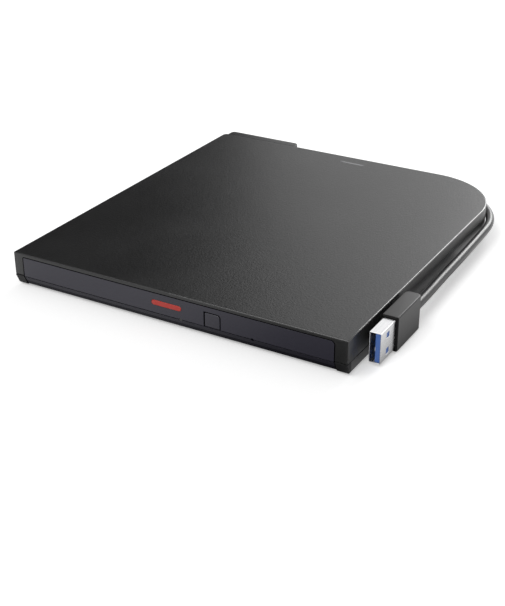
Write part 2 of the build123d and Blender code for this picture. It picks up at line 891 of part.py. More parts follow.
# The disc tray: a moulded plate with a round dish, a window for the traverse set across
# it, skirts with tongues for the rails, and bosses below for what it carries.
board_post_y = bezel_back_y + front_board_depth - 1.0
front_board_x = (indicator_x - 5.0, indicator_x - 5.0 + front_board_width)
front_board_z = skirt_z + 0.1
tray_centre_y = (bezel_back_y + tray_back_y) / 2
tray_length = tray_back_y - bezel_back_y
with BuildPart() as disc_tray:
    with BuildSketch(Plane.XY.offset(tray_under_z)) as tray_plan:
        with Locations((0, tray_centre_y)):
            Rectangle(tray_width, tray_length)
        fillet(tray_plan.vertices().group_by(Axis.Y)[-1], tray_rear_corner)
    extrude(amount=tray_rim_height)
    with BuildSketch(Plane.XY.offset(dish_z)):
        with Locations((0, spindle_y)):
            Circle(dish_radius)
            with PolarLocations(dish_radius, 2, start_angle=-45, angular_range=360):
                Circle(finger_radius)
    extrude(amount=dish_depth, mode=Mode.SUBTRACT)
    with BuildSketch(traverse.offset(tray_under_z)) as tray_window:
        with Locations(((window_nose - window_tail) / 2, 0)):
            RectangleRounded(window_nose + window_tail, 2 * window_half_width, window_corner)
        Circle(turntable_radius + 2.5)
    extrude(amount=tray_rim_height, mode=Mode.SUBTRACT)
    for side in (-1, 1):
        block(
            mirrored_x(side, skirt_outer_x - skirt_thickness, skirt_outer_x),
            (bezel_back_y, tray_back_y - tray_rear_corner),
            (skirt_z, tray_under_z),
        )
        block(
            mirrored_x(side, skirt_outer_x, tongue_outer_x),
            (bezel_back_y + front_wall_thickness, tray_back_y - tray_rear_corner),
            tongue_z,
        )
    for wall_x in (
        (-skirt_outer_x, front_board_x[0] - 1.0),
        (front_board_x[1] + 1.0, post_x - 2 * post_radius),
        (post_x + 2 * post_radius, skirt_outer_x),
    ):
        block(wall_x, (bezel_back_y, bezel_back_y + front_wall_thickness), (skirt_z, tray_under_z))
    block(
        (button_x - button_width / 2 - 2 * button_flange, button_x + button_width / 2 + 2 * button_flange),
        (bezel_back_y, bezel_back_y + button_flange_thickness + button_travel + 0.8),
        (tray_under_z, tray_top_z),
        Mode.SUBTRACT,
    )
    with BuildSketch(Plane.XZ.offset(-bezel_back_y)):
        with Locations((emergency_x, emergency_z)):
            Circle(hole_radius + screw_slack)
    extrude(amount=-2 * front_wall_thickness, mode=Mode.SUBTRACT)
    with Locations(traverse):
        boss_z = (frame_z - damper_below, tray_under_z)
        for x, y in dampers:
            post(x, y, boss_z, damper_boss)
            post(x, y, boss_z, damper_screw_radius + thread_slack, Mode.SUBTRACT)
    for x in (front_board_x[0] + 2.0, front_board_x[1] - 2.0):
        post(x, board_post_y, (front_board_z + board_thin, tray_under_z), 1.2)
    latch_pivot = (latch_pivot_x, front_y + latch_pivot_setback)
    latch_z = skirt_z + 0.5
    post(*latch_pivot, (latch_z + latch_thickness, tray_under_z), 2 * latch_pin_radius)
    post(*latch_pivot, (latch_z, tray_under_z), latch_pin_radius)
finish(disc_tray, "disc_tray")

# The tray front is one moulding: a flat face, a groove level with the case's seam, and a
# lower lip that slopes back. It has a round-cornered notch for the button.
button_bottom_z = groove_z
button_opening = (button_x - button_width / 2 - button_gap, button_x + button_width / 2 + button_gap)
with BuildPart() as tray_bezel:
    with BuildSketch(Plane.YZ.offset(bezel_x[0])):
        with BuildLine():
            Polyline(
                (front_y, bezel_top_z),
                (front_y, groove_z),
                (front_y + groove_depth, groove_z),
                (front_y + groove_depth, groove_z - groove_width),
                (front_y + front_slope_drop * 0.4, groove_z - groove_width),
                (front_y + front_slope_back - 0.15, base_z + base_edge_round),
                (front_y + front_slope_back + base_edge_round - 0.15, base_z + under_clearance),
                (front_y + bezel_lip_depth, base_z + under_clearance),
                (front_y + bezel_lip_depth, base_z + under_clearance + bezel_lip_thickness),
                (bezel_back_y, base_z + under_clearance + bezel_lip_thickness),
                (bezel_back_y, bezel_top_z),
                close=True,
            )
        make_face()
    extrude(amount=bezel_x[1] - bezel_x[0])
    extrude(bezel_outline, amount=-case_depth, mode=Mode.INTERSECT)
    with BuildSketch(Plane.XZ.offset(-front_y)):
        with Locations((left_x + bar_from_left, lid_z - bar_drop)):
            SlotOverall(bar_length, bar_height)
    extrude(amount=-bar_depth, mode=Mode.SUBTRACT)
    with BuildSketch(Plane.XZ.offset(-front_y)) as notch:
        with Locations((button_x, (button_bottom_z + button_top_z) / 2)):
            Rectangle(button_width + 2 * button_gap, button_top_z - button_bottom_z + 2 * button_gap)
        upper = notch.vertices().group_by(Axis.Y)[-1].sort_by(Axis.X)
        fillet(upper[-1], button_corner + button_gap)
    extrude(amount=-bezel_thickness, mode=Mode.SUBTRACT)
    with BuildSketch(Plane.XZ.offset(-front_y)):
        with Locations((emergency_x, emergency_z)):
            Circle(hole_radius)
        with Locations((indicator_x, emergency_z)):
            Circle(indicator_radius)
    extrude(amount=-bezel_thickness, mode=Mode.SUBTRACT)
finish(tray_bezel, "tray_bezel")

# The coloured bar is a separate moulding pressed into the tray front.
with BuildPart() as accent_bar:
    with BuildSketch(Plane.XZ.offset(-front_y - bar_depth)):
        with Locations((left_x + bar_from_left, lid_z - bar_drop)):
            SlotOverall(bar_length, bar_height)
    extrude(amount=bar_depth + bar_proud)
finish(accent_bar, "accent_bar")

# The indicator's light guide runs through the tray front to the lamp on the small board.
with BuildPart() as indicator_lens:
    with BuildSketch(Plane.XZ.offset(-front_y - front_slope_drop)):
        with Locations((indicator_x, emergency_z)):
            Circle(indicator_radius)
    extrude(amount=-bezel_thickness)
finish(indicator_lens, "indicator_lens")

# The eject button's cap fills the notch, and a flange behind keeps it in.
button_z = (button_bottom_z, button_top_z)
flange_y = bezel_back_y + 0.05
with BuildPart() as eject_button:
    with BuildSketch(Plane.XZ.offset(-front_y)) as cap:
        with Locations((button_x, sum(button_z) / 2)):
            Rectangle(button_width, button_z[1] - button_z[0])
        upper = cap.vertices().group_by(Axis.Y)[-1].sort_by(Axis.X)
        fillet(upper[-1], button_corner)
    extrude(amount=-(flange_y - front_y + button_flange_thickness))
    block(
        (button_x - button_width / 2 - button_flange, button_x + button_width / 2 + button_flange),
        (flange_y, flange_y + button_flange_thickness),
        (button_z[0] - button_flange / 2, button_z[1] + button_flange),
    )
finish(eject_button, "eject_button")

# A small board under the tray's front edge carries the lamp and the eject switch.
switch_y = flange_y + button_flange_thickness + button_travel + switch_gap
with BuildPart() as front_board:
    block(
        front_board_x,
        (bezel_back_y + 0.5, bezel_back_y + 0.5 + front_board_depth),
        (front_board_z, front_board_z + board_thin),
    )
    block(
        (indicator_x - 0.8, indicator_x + 0.8),
        (front_y + front_slope_drop + bezel_thickness + 0.6, bezel_back_y + 2.4),
        (front_board_z + board_thin, front_board_z + board_thin + 1.0),
    )
finish(front_board, "front_board")

with BuildPart() as button_switch:
    block(
        (button_x - switch_width / 2, button_x + switch_width / 2),
        (switch_y + 0.4, switch_y + 0.4 + switch_depth),
        (front_board_z + board_thin, front_board_z + board_thin + switch_height * 0.85),
    )
    nub_place = (button_x, switch_y, front_board_z + board_thin + switch_height * 0.5)
    with Locations(Location(nub_place, (-90, 0, 0))):
        Cylinder(switch_nub_radius, 0.4, align=(Align.CENTER, Align.CENTER, Align.MIN))
finish(button_switch, "button_switch")

# The traverse frame is a stamped plate with end blocks for the rods and the screw. It
# hangs from the tray on three rubber dampers.
with BuildPart() as traverse_frame:
    with BuildSketch(traverse.offset(frame_z)):
        Polygon(
            (-frame_tail, -frame_left),
            (frame_nose - frame_left_cut, -frame_left),
            (frame_nose, -frame_left + frame_left_cut),
            (frame_nose, frame_right - frame_right_cut),
            (frame_nose - frame_right_cut, frame_right),
            (-frame_tail + 12, frame_right),
            (-frame_tail, frame_right - 6),
            align=None,
        )
        with Locations(dampers):
            Circle(ear_radius)
        with Locations((damper_nose - ear_radius, 0)):
            Rectangle(2 * ear_radius, 2 * ear_radius)
        with Locations(dampers):
            Circle(damper_neck + seat_slack, mode=Mode.SUBTRACT)
        Circle(can_radius + 1.1, mode=Mode.SUBTRACT)
        with Locations(((slot_start + slot_end) / 2, 0)):
            RectangleRounded(slot_end - slot_start, 2 * slot_half_width, 1.5, mode=Mode.SUBTRACT)
        with Locations((sled_motor_start + sled_motor_length / 2, screw_side)):
            Rectangle(sled_motor_length + 0.6, 2 * sled_motor_radius + 0.4, mode=Mode.SUBTRACT)
    extrude(amount=frame_sheet)
    with Locations(traverse):
        for y in (-rod_side, rod_side):
            for x in (slot_start - rod_block, slot_end + 0.3):
                block(
                    (x, x + rod_block),
                    (y - rod_block_half, y + rod_block_half),
                    (rod_z - rod_block_half, frame_z),
                )
        x = damper_nose - screw_end_gap - screw_end_block
        block(
            (x, x + screw_end_block),
            (screw_side - rod_block_half, screw_side + rod_block_half),
            (rod_z - rod_block_half, frame_z),
        )
        with Locations((slot_start - rod_block, -rod_side, rod_z), (slot_start - rod_block, rod_side, rod_z)):
            Cylinder(
                rod_radius + seat_slack,
                slot_end + 0.3 + 2 * rod_block - slot_start,
                rotation=(0, 90, 0),
                align=(Align.CENTER, Align.CENTER, Align.MIN),
                mode=Mode.SUBTRACT,
            )
        with Locations((x, screw_side, screw_z)):
            Cylinder(
                rod_radius + shaft_slack,
                screw_end_block,
                rotation=(0, 90, 0),
                align=(Align.CENTER, Align.CENTER, Align.MIN),
                mode=Mode.SUBTRACT,
            )
finish(traverse_frame, "traverse_frame")

# A thin dark cover on four bent legs hides the traverse and leaves the turntable and the
# lens free.
with BuildPart() as traverse_cover:
    with BuildSketch(traverse.offset(cover_z)):
        with Locations(((window_nose - window_tail) / 2, 0)):
            RectangleRounded(
                window_nose + window_tail - 2 * cover_gap,
                2 * (window_half_width - cover_gap),
                window_corner - cover_gap,
            )
        Circle(turntable_radius + 2.5 - cover_gap)
        Circle(turntable_radius + 0.6, mode=Mode.SUBTRACT)
        with Locations(((slot_start + slot_end) / 2, 0)):
            SlotOverall(
                slot_end - slot_start - 2 * cover_slot_inset,
                2 * cover_slot_half_width,
                mode=Mode.SUBTRACT,
            )
    extrude(amount=cover_sheet)
    leg_side = window_half_width - cover_gap - cover_sheet
    with Locations(traverse):
        for x in (cover_leg_start, damper_nose - cover_leg_end_gap):
            for side in (-1, 1):
                block(
                    (x, x + cover_leg_width),
                    mirrored_x(side, leg_side, leg_side + cover_sheet),
                    (frame_top_z, cover_z),
                )
finish(traverse_cover, "traverse_cover")

# Rubber dampers sit in the frame's ears, and shoulder screws hold them to the tray.
with BuildPart() as rubber_dampers:
    with Locations(traverse):
        for x, y in dampers:
            post(x, y, (frame_z - damper_below, frame_z), damper_radius)
            post(x, y, (frame_z, frame_top_z), damper_neck)
            post(x, y, (frame_top_z, tray_under_z), damper_radius)
            post(x, y, (frame_z - damper_below, tray_under_z), damper_bore, Mode.SUBTRACT)
finish(rubber_dampers, "rubber_dampers")

with BuildPart() as damper_screws:
    with Locations(traverse):
        for x, y in dampers:
            screw(
                Location((x, y, frame_z - damper_below)),
                damper_screw_radius,
                tray_under_z - frame_z + damper_below - 0.3,
                damper_head_radius,
                damper_head_height,
            )
finish(damper_screws, "damper_screws")

# The spindle motor's fixed half: a base plate with a rim under the frame, and a bearing
# tube that carries the wound core.
spindle_axis = Axis((0, spindle_y, 0), (0, 0, 1))
spindle_plane = Plane((0, spindle_y, 0), x_dir=(1, 0, 0), z_dir=(0, -1, 0))
bearing_top_z = turntable_z - 0.7
with BuildPart() as spindle_motor:
    with BuildSketch(spindle_plane):
        with BuildLine():
            Polyline(
                (0, motor_base_z),
                (motor_base_radius, motor_base_z),
                (motor_base_radius, frame_z),
                (motor_base_radius - motor_ring, frame_z),
                (motor_base_radius - motor_ring, motor_base_z + motor_base_thickness),
                (bearing_radius, motor_base_z + motor_base_thickness),
                (bearing_radius, bearing_top_z),
                (shaft_radius + shaft_slack, bearing_top_z),
                (shaft_radius + shaft_slack, motor_base_z + motor_base_thickness / 2),
                (0, motor_base_z + motor_base_thickness / 2),
                close=True,
            )
        make_face()
    revolve(axis=spindle_axis)
finish(spindle_motor, "spindle_motor")

with BuildPart() as motor_core:
    with BuildSketch(Plane.XY.offset(can_z + 0.3)):
        with Locations((0, spindle_y)):
            Circle(stator_radius)
            Circle(bearing_radius + seat_slack, mode=Mode.SUBTRACT)
            with PolarLocations(stator_radius * 0.72, stator_teeth):
                Rectangle(stator_radius * 0.6, stator_slot, mode=Mode.SUBTRACT)
    extrude(amount=stator_height)
finish(motor_core, "motor_core")

# The turning half: shaft, motor can, turntable and hub in one, with three slots for the
# claws that hold the disc.
claw_z = disc_seat_z - pad_thickness + claw_rise
with BuildPart() as turntable:
    with BuildSketch(spindle_plane):
        with BuildLine():
            Polyline(
                (0, motor_base_z + motor_base_thickness / 2 + shaft_slack),
                (shaft_radius, motor_base_z + motor_base_thickness / 2 + shaft_slack),
                (shaft_radius, turntable_z - can_wall),
                (can_radius - can_wall, turntable_z - can_wall),
                (can_radius - can_wall, can_z),
                (can_radius, can_z),
                (can_radius, turntable_z),
                (turntable_radius, turntable_z),
                (turntable_radius, turntable_z + turntable_thickness),
                (hub_radius, turntable_z + turntable_thickness),
                (hub_radius, hub_top_z - hub_chamfer),
                (hub_radius - hub_chamfer, hub_top_z),
                (0, hub_top_z),
                close=True,
            )
        make_face()
    revolve(axis=spindle_axis)
    with BuildSketch(Plane.XY.offset(claw_z - claw_gap)):
        with Locations((0, spindle_y)):
            with PolarLocations((claw_inner - claw_travel - claw_gap + hub_radius + 1) / 2, claw_count, 90):
                Rectangle(hub_radius + 1 - claw_inner + claw_travel + claw_gap, claw_width + 2 * claw_gap)
    extrude(amount=claw_height + 2 * claw_gap, mode=Mode.SUBTRACT)
finish(turntable, "turntable")

with BuildPart() as turntable_pad:
    with BuildSketch(Plane.XY.offset(turntable_z + turntable_thickness)):
        with Locations((0, spindle_y)):
            Circle(pad_outer_radius)
            Circle(pad_inner_radius, mode=Mode.SUBTRACT)
    extrude(amount=pad_thickness)
finish(turntable_pad, "turntable_pad")

# Each claw is a small sprung slider with a sloping nose that stands out of the hub.
for number in range(claw_count):
    angle = 90 + number * 360 / claw_count
    across = Plane(
        (0, spindle_y, 0),
        x_dir=(math.cos(math.radians(angle)), math.sin(math.radians(angle)), 0),
        z_dir=(math.sin(math.radians(angle)), -math.cos(math.radians(angle)), 0),
    )
    with BuildPart() as claw:
        with BuildSketch(across):
            Polygon(
                (claw_inner, claw_z),
                (claw_outer - 0.3, claw_z),
                (claw_outer, claw_z + claw_height * 0.35),
                (claw_outer - 0.6, claw_z + claw_height),
                (claw_inner, claw_z + claw_height),
                align=None,
            )
        extrude(amount=claw_width / 2, both=True)
    finish(claw, f"disc_claw_{number + 1}")

# Two ground steel rods carry the pickup, and a fine screw moves it.
rod_start = slot_start - rod_block
rod_length = slot_end + 0.3 + rod_block - rod_start
screw_length = damper_nose - screw_end_gap - sled_motor_start - sled_motor_length
with BuildPart() as guide_rods:
    with Locations(traverse):
        with Locations((rod_start, -rod_side, rod_z), (rod_start, rod_side, rod_z)):
            Cylinder(
                rod_radius,
                rod_length,
                rotation=(0, 90, 0),
                align=(Align.CENTER, Align.CENTER, Align.MIN),
            )
finish(guide_rods, "guide_rods")

with BuildPart() as lead_screw:
    with Locations(traverse):
        with Locations((sled_motor_start + sled_motor_length, screw_side, screw_z)):
            Cylinder(
                rod_radius,
                screw_length,
                rotation=(0, 90, 0),
                align=(Align.CENTER, Align.CENTER, Align.MIN),
            )
finish(lead_screw, "lead_screw")

with BuildPart() as sled_motor:
    with Locations(traverse):
        with Locations((sled_motor_start, screw_side, screw_z)):
            Cylinder(
                sled_motor_radius,
                sled_motor_length,
                rotation=(0, 90, 0),
                align=(Align.CENTER, Align.CENTER, Align.MIN),
            )
            Box(
                sled_motor_length,
                2 * sled_motor_radius,
                2 * sled_motor_half_height,
                align=(Align.MIN, Align.CENTER, Align.CENTER),
                mode=Mode.INTERSECT,
            )
finish(sled_motor, "sled_motor")

# The pickup's sled: a die-cast body with a long bearing on one rod, a fork on the other,
# a nut on the screw and a well for the lens.
sled_x = (lens_start - sled_inner, lens_start + sled_outer)
sled_top_z = sled_z + sled_height
bearing_top = frame_z - rod_slack * 2
with BuildPart() as pickup_sled:
    with Locations(traverse):
        block(sled_x, (-sled_half_width, sled_half_width), (sled_z, sled_top_z))
        block(
            (sled_x[0], sled_x[0] + bearing_length),
            (sled_half_width, rod_side + rod_block_half),
            (sled_z, bearing_top),
        )
        block(
            (lens_start - fork_length / 2, lens_start + fork_length / 2),
            (-rod_side - rod_block_half, -sled_half_width),
            (sled_z, bearing_top),
        )
        block(
            (lens_start - nut_length, lens_start),
            (rod_side, screw_side + rod_radius + nut_wall),
            (sled_z + 0.2, bearing_top),
        )
        with Locations((sled_x[0], rod_side, rod_z)):
            Cylinder(
                rod_radius + rod_slack,
                bearing_length,
                rotation=(0, 90, 0),
                align=(Align.CENTER, Align.CENTER, Align.MIN),
                mode=Mode.SUBTRACT,
            )
        with Locations((lens_start - nut_length, screw_side, screw_z)):
            Cylinder(
                rod_radius + nut_slack,
                nut_length,
                rotation=(0, 90, 0),
                align=(Align.CENTER, Align.CENTER, Align.MIN),
                mode=Mode.SUBTRACT,
            )
        block(
            (lens_start - fork_length / 2, lens_start + fork_length / 2),
            (-rod_side - rod_block_half, -rod_side + rod_radius + rod_slack),
            (rod_z - rod_radius - rod_slack, rod_z + rod_radius + rod_slack),
            Mode.SUBTRACT,
        )
        block(
            (lens_start - well_length / 2, lens_start + well_length / 2),
            (-well_width / 2, well_width / 2),
            (sled_z + well_floor, sled_top_z),
            Mode.SUBTRACT,
        )
finish(pickup_sled, "pickup_sled")

# The lens holder floats in the well, and moves up and down to focus.
holder_z = sled_z + well_floor + holder_lift
with BuildPart() as lens_holder:
    with BuildSketch(traverse.offset(holder_z)):
        with Locations((lens_start, 0)):
            RectangleRounded(holder_length, holder_width, 0.8)
    extrude(amount=holder_height)
    with BuildSketch(traverse.offset(holder_z + holder_height)):
        with Locations((lens_start, 0)):
            Circle(holder_ring_radius)
    extrude(amount=0.3)
    with BuildSketch(traverse.offset(holder_z + holder_height)):
        with Locations((lens_start, 0)):
            Circle(lens_radius)
    extrude(amount=0.3, mode=Mode.SUBTRACT)
finish(lens_holder, "lens_holder")

lens_z = holder_z + holder_height
lens_ball = (lens_radius**2 + lens_rise**2) / (2 * lens_rise)
lens_place = traverse.from_local_coords(Vector(lens_start, 0, 0))
with BuildPart() as pickup_lens:
    with BuildSketch(Plane(lens_place, x_dir=(1, 0, 0), z_dir=(0, -1, 0))):
        with BuildLine():
            Line((0, lens_z), (lens_radius, lens_z))
            RadiusArc((lens_radius, lens_z), (0, lens_z + lens_rise), -lens_ball)
            Line((0, lens_z + lens_rise), (0, lens_z))
        make_face()
    revolve(axis=Axis(lens_place, (0, 0, 1)))
finish(pickup_lens, "pickup_lens")

# The latch: a steel post stands in the pan, and a lever on the tray hooks behind it. It
# is shown released, turned clear of the post. A solenoid on the tray works it.
post_y = front_y + post_setback
with BuildPart() as latch_post:
    post(post_x, post_y, (pan_floor_z, pan_floor_z + 0.4), 2 * post_radius)
    post(post_x, post_y, (pan_floor_z, latch_z + latch_thickness + 0.3), post_radius)
finish(latch_post, "latch_post")

latch_plane = Plane(
    (*latch_pivot, latch_z),
    x_dir=(math.cos(math.radians(latch_open_angle)), math.sin(math.radians(latch_open_angle)), 0),
    z_dir=(0, 0, 1),
)
nose_reach = latch_pivot_x - post_x - post_radius + latch_nose_cover
with BuildPart() as latch_lever:
    with BuildSketch(latch_plane):
        Circle(latch_hub_radius)
        with Locations((0, -latch_arm_length / 2)):
            Rectangle(latch_arm_width, latch_arm_length)
        with Locations(((latch_arm_width / 2 - nose_reach) / 2, -latch_arm_length + latch_nose / 2)):
            Rectangle(nose_reach + latch_arm_width / 2, latch_nose)
        with Locations((latch_hub_radius, 0)):
            Rectangle(2 * latch_hub_radius, latch_arm_width)
        Circle(latch_pin_radius + latch_slack, mode=Mode.SUBTRACT)
    extrude(amount=latch_thickness)
finish(latch_lever, "latch_lever")

solenoid_x = (latch_pivot_x - 0.6, latch_pivot_x - 0.6 + solenoid_width)
solenoid_y = latch_pivot[1] + 4.0
with BuildPart() as eject_solenoid:
    block(solenoid_x, (solenoid_y, solenoid_y + solenoid_length), (skirt_z, tray_under_z))
    with Locations(Location((solenoid_x[1] - 1.2, solenoid_y, latch_z + latch_thickness / 2), (90, 0, 0))):
        Cylinder(plunger_radius, 1.2, align=(Align.CENTER, Align.CENTER, Align.MIN))
finish(eject_solenoid, "eject_solenoid")

# The mechanism's own board lies on the pan behind the traverse, with its chips on top and
# a plug row in the pan's back wall.
with BuildPart() as drive_board:
    block(drive_board_x, (board_front_y, pan_inner_back_y), (pan_floor_z, board_top_z))
finish(drive_board, "drive_board")

with BuildPart() as drive_chips:
    for x, y, width, depth, height in (
        (0.27, 0.28, 14.0, 14.0, 1.2),
        (0.47, 0.29, 9.0, 9.0, 1.0),
        (0.63, 0.32, 8.0, 6.0, 1.0),
        (0.77, 0.45, 6.0, 5.0, 1.0),
        (0.10, 0.39, 5.0, 4.0, 1.4),
    ):
        x = drive_board_x[0] + x * (drive_board_x[1] - drive_board_x[0])
        y = board_front_y + y * drive_board_depth
        block(
            (x - width / 2, x + width / 2),
            (y - depth / 2, y + depth / 2),
            (board_top_z, board_top_z + height),
        )
finish(drive_chips, "drive_chips")

with BuildPart() as ribbon_socket:
    block(
        (ribbon_x - ribbon_width / 2 - 1, ribbon_x + ribbon_width / 2 + 1),
        (board_front_y + 0.5, board_front_y + 4.0),
        (board_top_z, board_top_z + 1.2),
    )
finish(ribbon_socket, "ribbon_socket")

tray_socket_y = board_front_y - 10.0
ribbon_low_z = pan_floor_z + ribbon_thickness
ribbon_high_z = ribbon_low_z + ribbon_rise
with BuildPart() as tray_socket:
    block(
        (ribbon_x - ribbon_width / 2 - 1, ribbon_x + ribbon_width / 2 + 1),
        (tray_socket_y, tray_socket_y + 3.5),
        (ribbon_high_z + ribbon_thickness / 2 + ribbon_gap, tray_under_z),
    )
finish(tray_socket, "tray_socket")

# The ribbon runs forward on the pan's floor, folds over and comes back to the tray, and
# unrolls as the tray slides out.
with BuildPart() as flex_ribbon:
    with BuildSketch(Plane.YZ.offset(ribbon_x - ribbon_width / 2)):
        with BuildLine():
            fold_y = front_y + ribbon_front_setback
            socket_z = board_top_z + 0.6
            FilletPolyline(
                (board_front_y + 0.5, socket_z),
                (board_front_y - 1.5, socket_z),
                (board_front_y - 4.0, ribbon_low_z),
                (fold_y - ribbon_rise / 2, ribbon_low_z),
                (fold_y - ribbon_rise / 2, ribbon_high_z),
                (tray_socket_y + 3.0, ribbon_high_z),
                radius=(0.8, 0.8, ribbon_rise / 2 - 0.01, ribbon_rise / 2 - 0.01),
            )
        trace(line_width=ribbon_thickness)
    extrude(amount=ribbon_width)
finish(flex_ribbon, "flex_ribbon")

plug_row = (plug_row_x - plug_row_width / 2 + 0.1, plug_row_x + plug_row_width / 2 - 0.1)
mate_y = drive_back_y + plug_row_proud
with BuildPart() as drive_plug:
    block(plug_row, (mate_y - plug_row_depth, mate_y), (board_top_z, board_top_z + plug_row_height - 0.1))
finish(drive_plug, "drive_plug")

# Behind the mechanism a bridge board turns the drive's signals into the lead's.
with BuildPart() as bridge_board:
    block(bridge_x, (bridge_front_y, bridge_back_y), (bridge_z, bridge_top_z))
    for x, y in board_posts:
        post(x, y, (bridge_z, bridge_top_z), small_screw_radius + screw_slack, Mode.SUBTRACT)
finish(bridge_board, "bridge_board")

with BuildPart() as bridge_socket:
    block(
        (plug_row[0] - 1, plug_row[1] + 1),
        (mate_y, bridge_front_y + 3.0),
        (bridge_top_z, board_top_z + plug_row_height + 0.8),
    )
finish(bridge_socket, "bridge_socket")

with BuildPart() as bridge_chips:
    for x, y, width, depth, height in (
        (0.66, 0.42, 9.0, 9.0, 1.0),
        (0.82, 0.40, 5.0, 4.0, 1.0),
        (0.32, 0.55, 3.4, 2.6, 0.8),
        (0.22, 0.50, 3.0, 3.0, 1.2),
        (0.90, 0.62, 3.5, 2.8, 1.6),
    ):
        x = bridge_x[0] + x * (bridge_x[1] - bridge_x[0])
        y = bridge_front_y + y * (bridge_back_y - bridge_front_y)
        block(
            (x - width / 2, x + width / 2),
            (y - depth / 2, y + depth / 2),
            (bridge_top_z, bridge_top_z + height),
        )
finish(bridge_chips, "bridge_chips")

# The power lamp and the clear pipe that takes its light up to the slot in the lid.
with BuildPart() as power_lamp:
    block((-1.0, 1.0), (pipe_y - 0.6, pipe_y + 0.6), (bridge_top_z, bridge_top_z + 0.6))
finish(power_lamp, "power_lamp")

with BuildPart() as light_pipe:
    with BuildSketch(Plane.XY.offset(ceiling_z)):
        with Locations((0, pipe_y)):
            SlotOverall(pipe_length, pipe_width)
    extrude(amount=lid_thickness)
    block(
        (-pipe_length / 2 - 1, pipe_length / 2 + 1),
        (pipe_y - pipe_stem_width / 2, pipe_y + pipe_stem_width / 2),
        (ceiling_z - pipe_flange, ceiling_z),
    )
    block(
        (-pipe_stem_length / 2, pipe_stem_length / 2),
        (pipe_y - pipe_stem_width / 2, pipe_y + pipe_stem_width / 2),
        (bridge_top_z + 0.9, ceiling_z - pipe_flange),
    )
finish(light_pipe, "light_pipe")

# The lead's five wires run from the gland through the back wall to their socket.
socket_x = wire_slot_x + wire_slot_width + 3.0
wire_in_y = back_y - wall - lead_socket_depth / 2 - 1.5
with BuildPart() as lead_socket:
    block(
        (socket_x, socket_x + lead_socket_width),
        (wire_in_y - lead_socket_depth / 2, wire_in_y + lead_socket_depth / 2),
        (bridge_top_z, bridge_top_z + lead_socket_height),
    )
finish(lead_socket, "lead_socket")

with BuildPart() as lead_wires:
    for number in range(wire_count):
        z = cord_height + (number - (wire_count - 1) / 2) * wire_pitch
        with BuildLine() as wire_line:
            FilletPolyline(
                (gland_start_x, cord_y, z),
                (wire_slot_x + wire_slot_width / 2, cord_y, z),
                (wire_slot_x + wire_slot_width / 2, wire_in_y, z),
                (socket_x, wire_in_y, z),
                radius=wire_bend,
            )
        with BuildSketch(Plane((gland_start_x, cord_y, z), z_dir=(-1, 0, 0))):
            RegularPolygon(wire_radius, 6)
        sweep(path=wire_line.wires()[0])
finish(lead_wires, "lead_wires")

# Foam pads press the mechanism down, and a bent bracket ties its back edge to the base.
with BuildPart() as foam_pads:
    for x in (pad_inset_x - drive_width / 2, drive_width / 2 - pad_inset_x):
        for y in (drive_front_y + pad_inset_y, drive_back_y - pad_inset_y):
            block(
                (x - pad_size / 2, x + pad_size / 2),
                (y - pad_size / 2, y + pad_size / 2),
                (drive_top_z, ceiling_z),
            )
finish(foam_pads, "foam_pads")

bracket_y = drive_back_y
with BuildPart() as drive_bracket:
    with BuildSketch(Plane.YZ.offset(post_x - bracket_width / 2)):
        Polygon(
            (bracket_y, drive_top_z - lid_side_flange),
            (bracket_y, bridge_z),
            (bracket_y + bracket_foot + lid_sheet + bracket_sheet, bridge_z),
            (bracket_y + bracket_foot + lid_sheet + bracket_sheet, bridge_z + bracket_sheet),
            (bracket_y + bracket_sheet, bridge_z + bracket_sheet),
            (bracket_y + bracket_sheet, drive_top_z - lid_side_flange),
            align=None,
        )
    extrude(amount=bracket_width)
    post(*bracket_post, (bridge_z, bridge_z + bracket_sheet), small_screw_radius + screw_slack, Mode.SUBTRACT)
finish(drive_bracket, "drive_bracket")

# The small screws inside: two hold the rear block, two the board and one the bracket.
with BuildPart() as small_screws:
    for x, z in back_screws:
        screw(
            Location((x, back_y - wall, z), (-90, 0, 0)),
            small_screw_radius,
            small_screw_length,
            small_head_radius,
            small_head_height,
        )
    inner_screws = [(x, y, bridge_top_z) for x, y in board_posts]
    inner_screws.append((*bracket_post, bridge_z + bracket_sheet))
    for place in inner_screws:
        screw(
            Location(place, (180, 0, 0)),
            small_screw_radius,
            small_screw_length,
            small_head_radius,
            small_head_height,
        )
finish(small_screws, "small_screws")
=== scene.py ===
import math

import bmesh
import bpy
import numpy as np
from mathutils import Matrix


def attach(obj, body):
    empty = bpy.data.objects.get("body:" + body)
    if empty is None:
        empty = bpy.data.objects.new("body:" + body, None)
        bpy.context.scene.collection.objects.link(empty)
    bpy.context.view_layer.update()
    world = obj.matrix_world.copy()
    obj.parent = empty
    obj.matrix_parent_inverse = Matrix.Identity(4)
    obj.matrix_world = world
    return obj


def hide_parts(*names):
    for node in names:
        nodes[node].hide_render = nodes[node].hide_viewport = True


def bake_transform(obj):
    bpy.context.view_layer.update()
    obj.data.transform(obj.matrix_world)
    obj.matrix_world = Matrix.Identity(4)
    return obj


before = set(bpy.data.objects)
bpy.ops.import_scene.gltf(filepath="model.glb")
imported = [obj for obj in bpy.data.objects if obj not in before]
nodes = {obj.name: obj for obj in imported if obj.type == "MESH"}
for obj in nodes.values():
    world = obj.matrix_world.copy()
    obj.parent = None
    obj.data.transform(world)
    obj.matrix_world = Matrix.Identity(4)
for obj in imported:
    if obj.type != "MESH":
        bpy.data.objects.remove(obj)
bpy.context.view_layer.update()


# Base cover
# The lower half of the case is one black moulding with a fine eroded texture. It slopes
# back under the tray front, and four screws pull it up against the lid.
base_colour, base_roughness, base_edge = (0.0125, 0.0125, 0.0132), 0.45, 0.00012
base_slope = {"Y": (-0.1, -0.0795)}


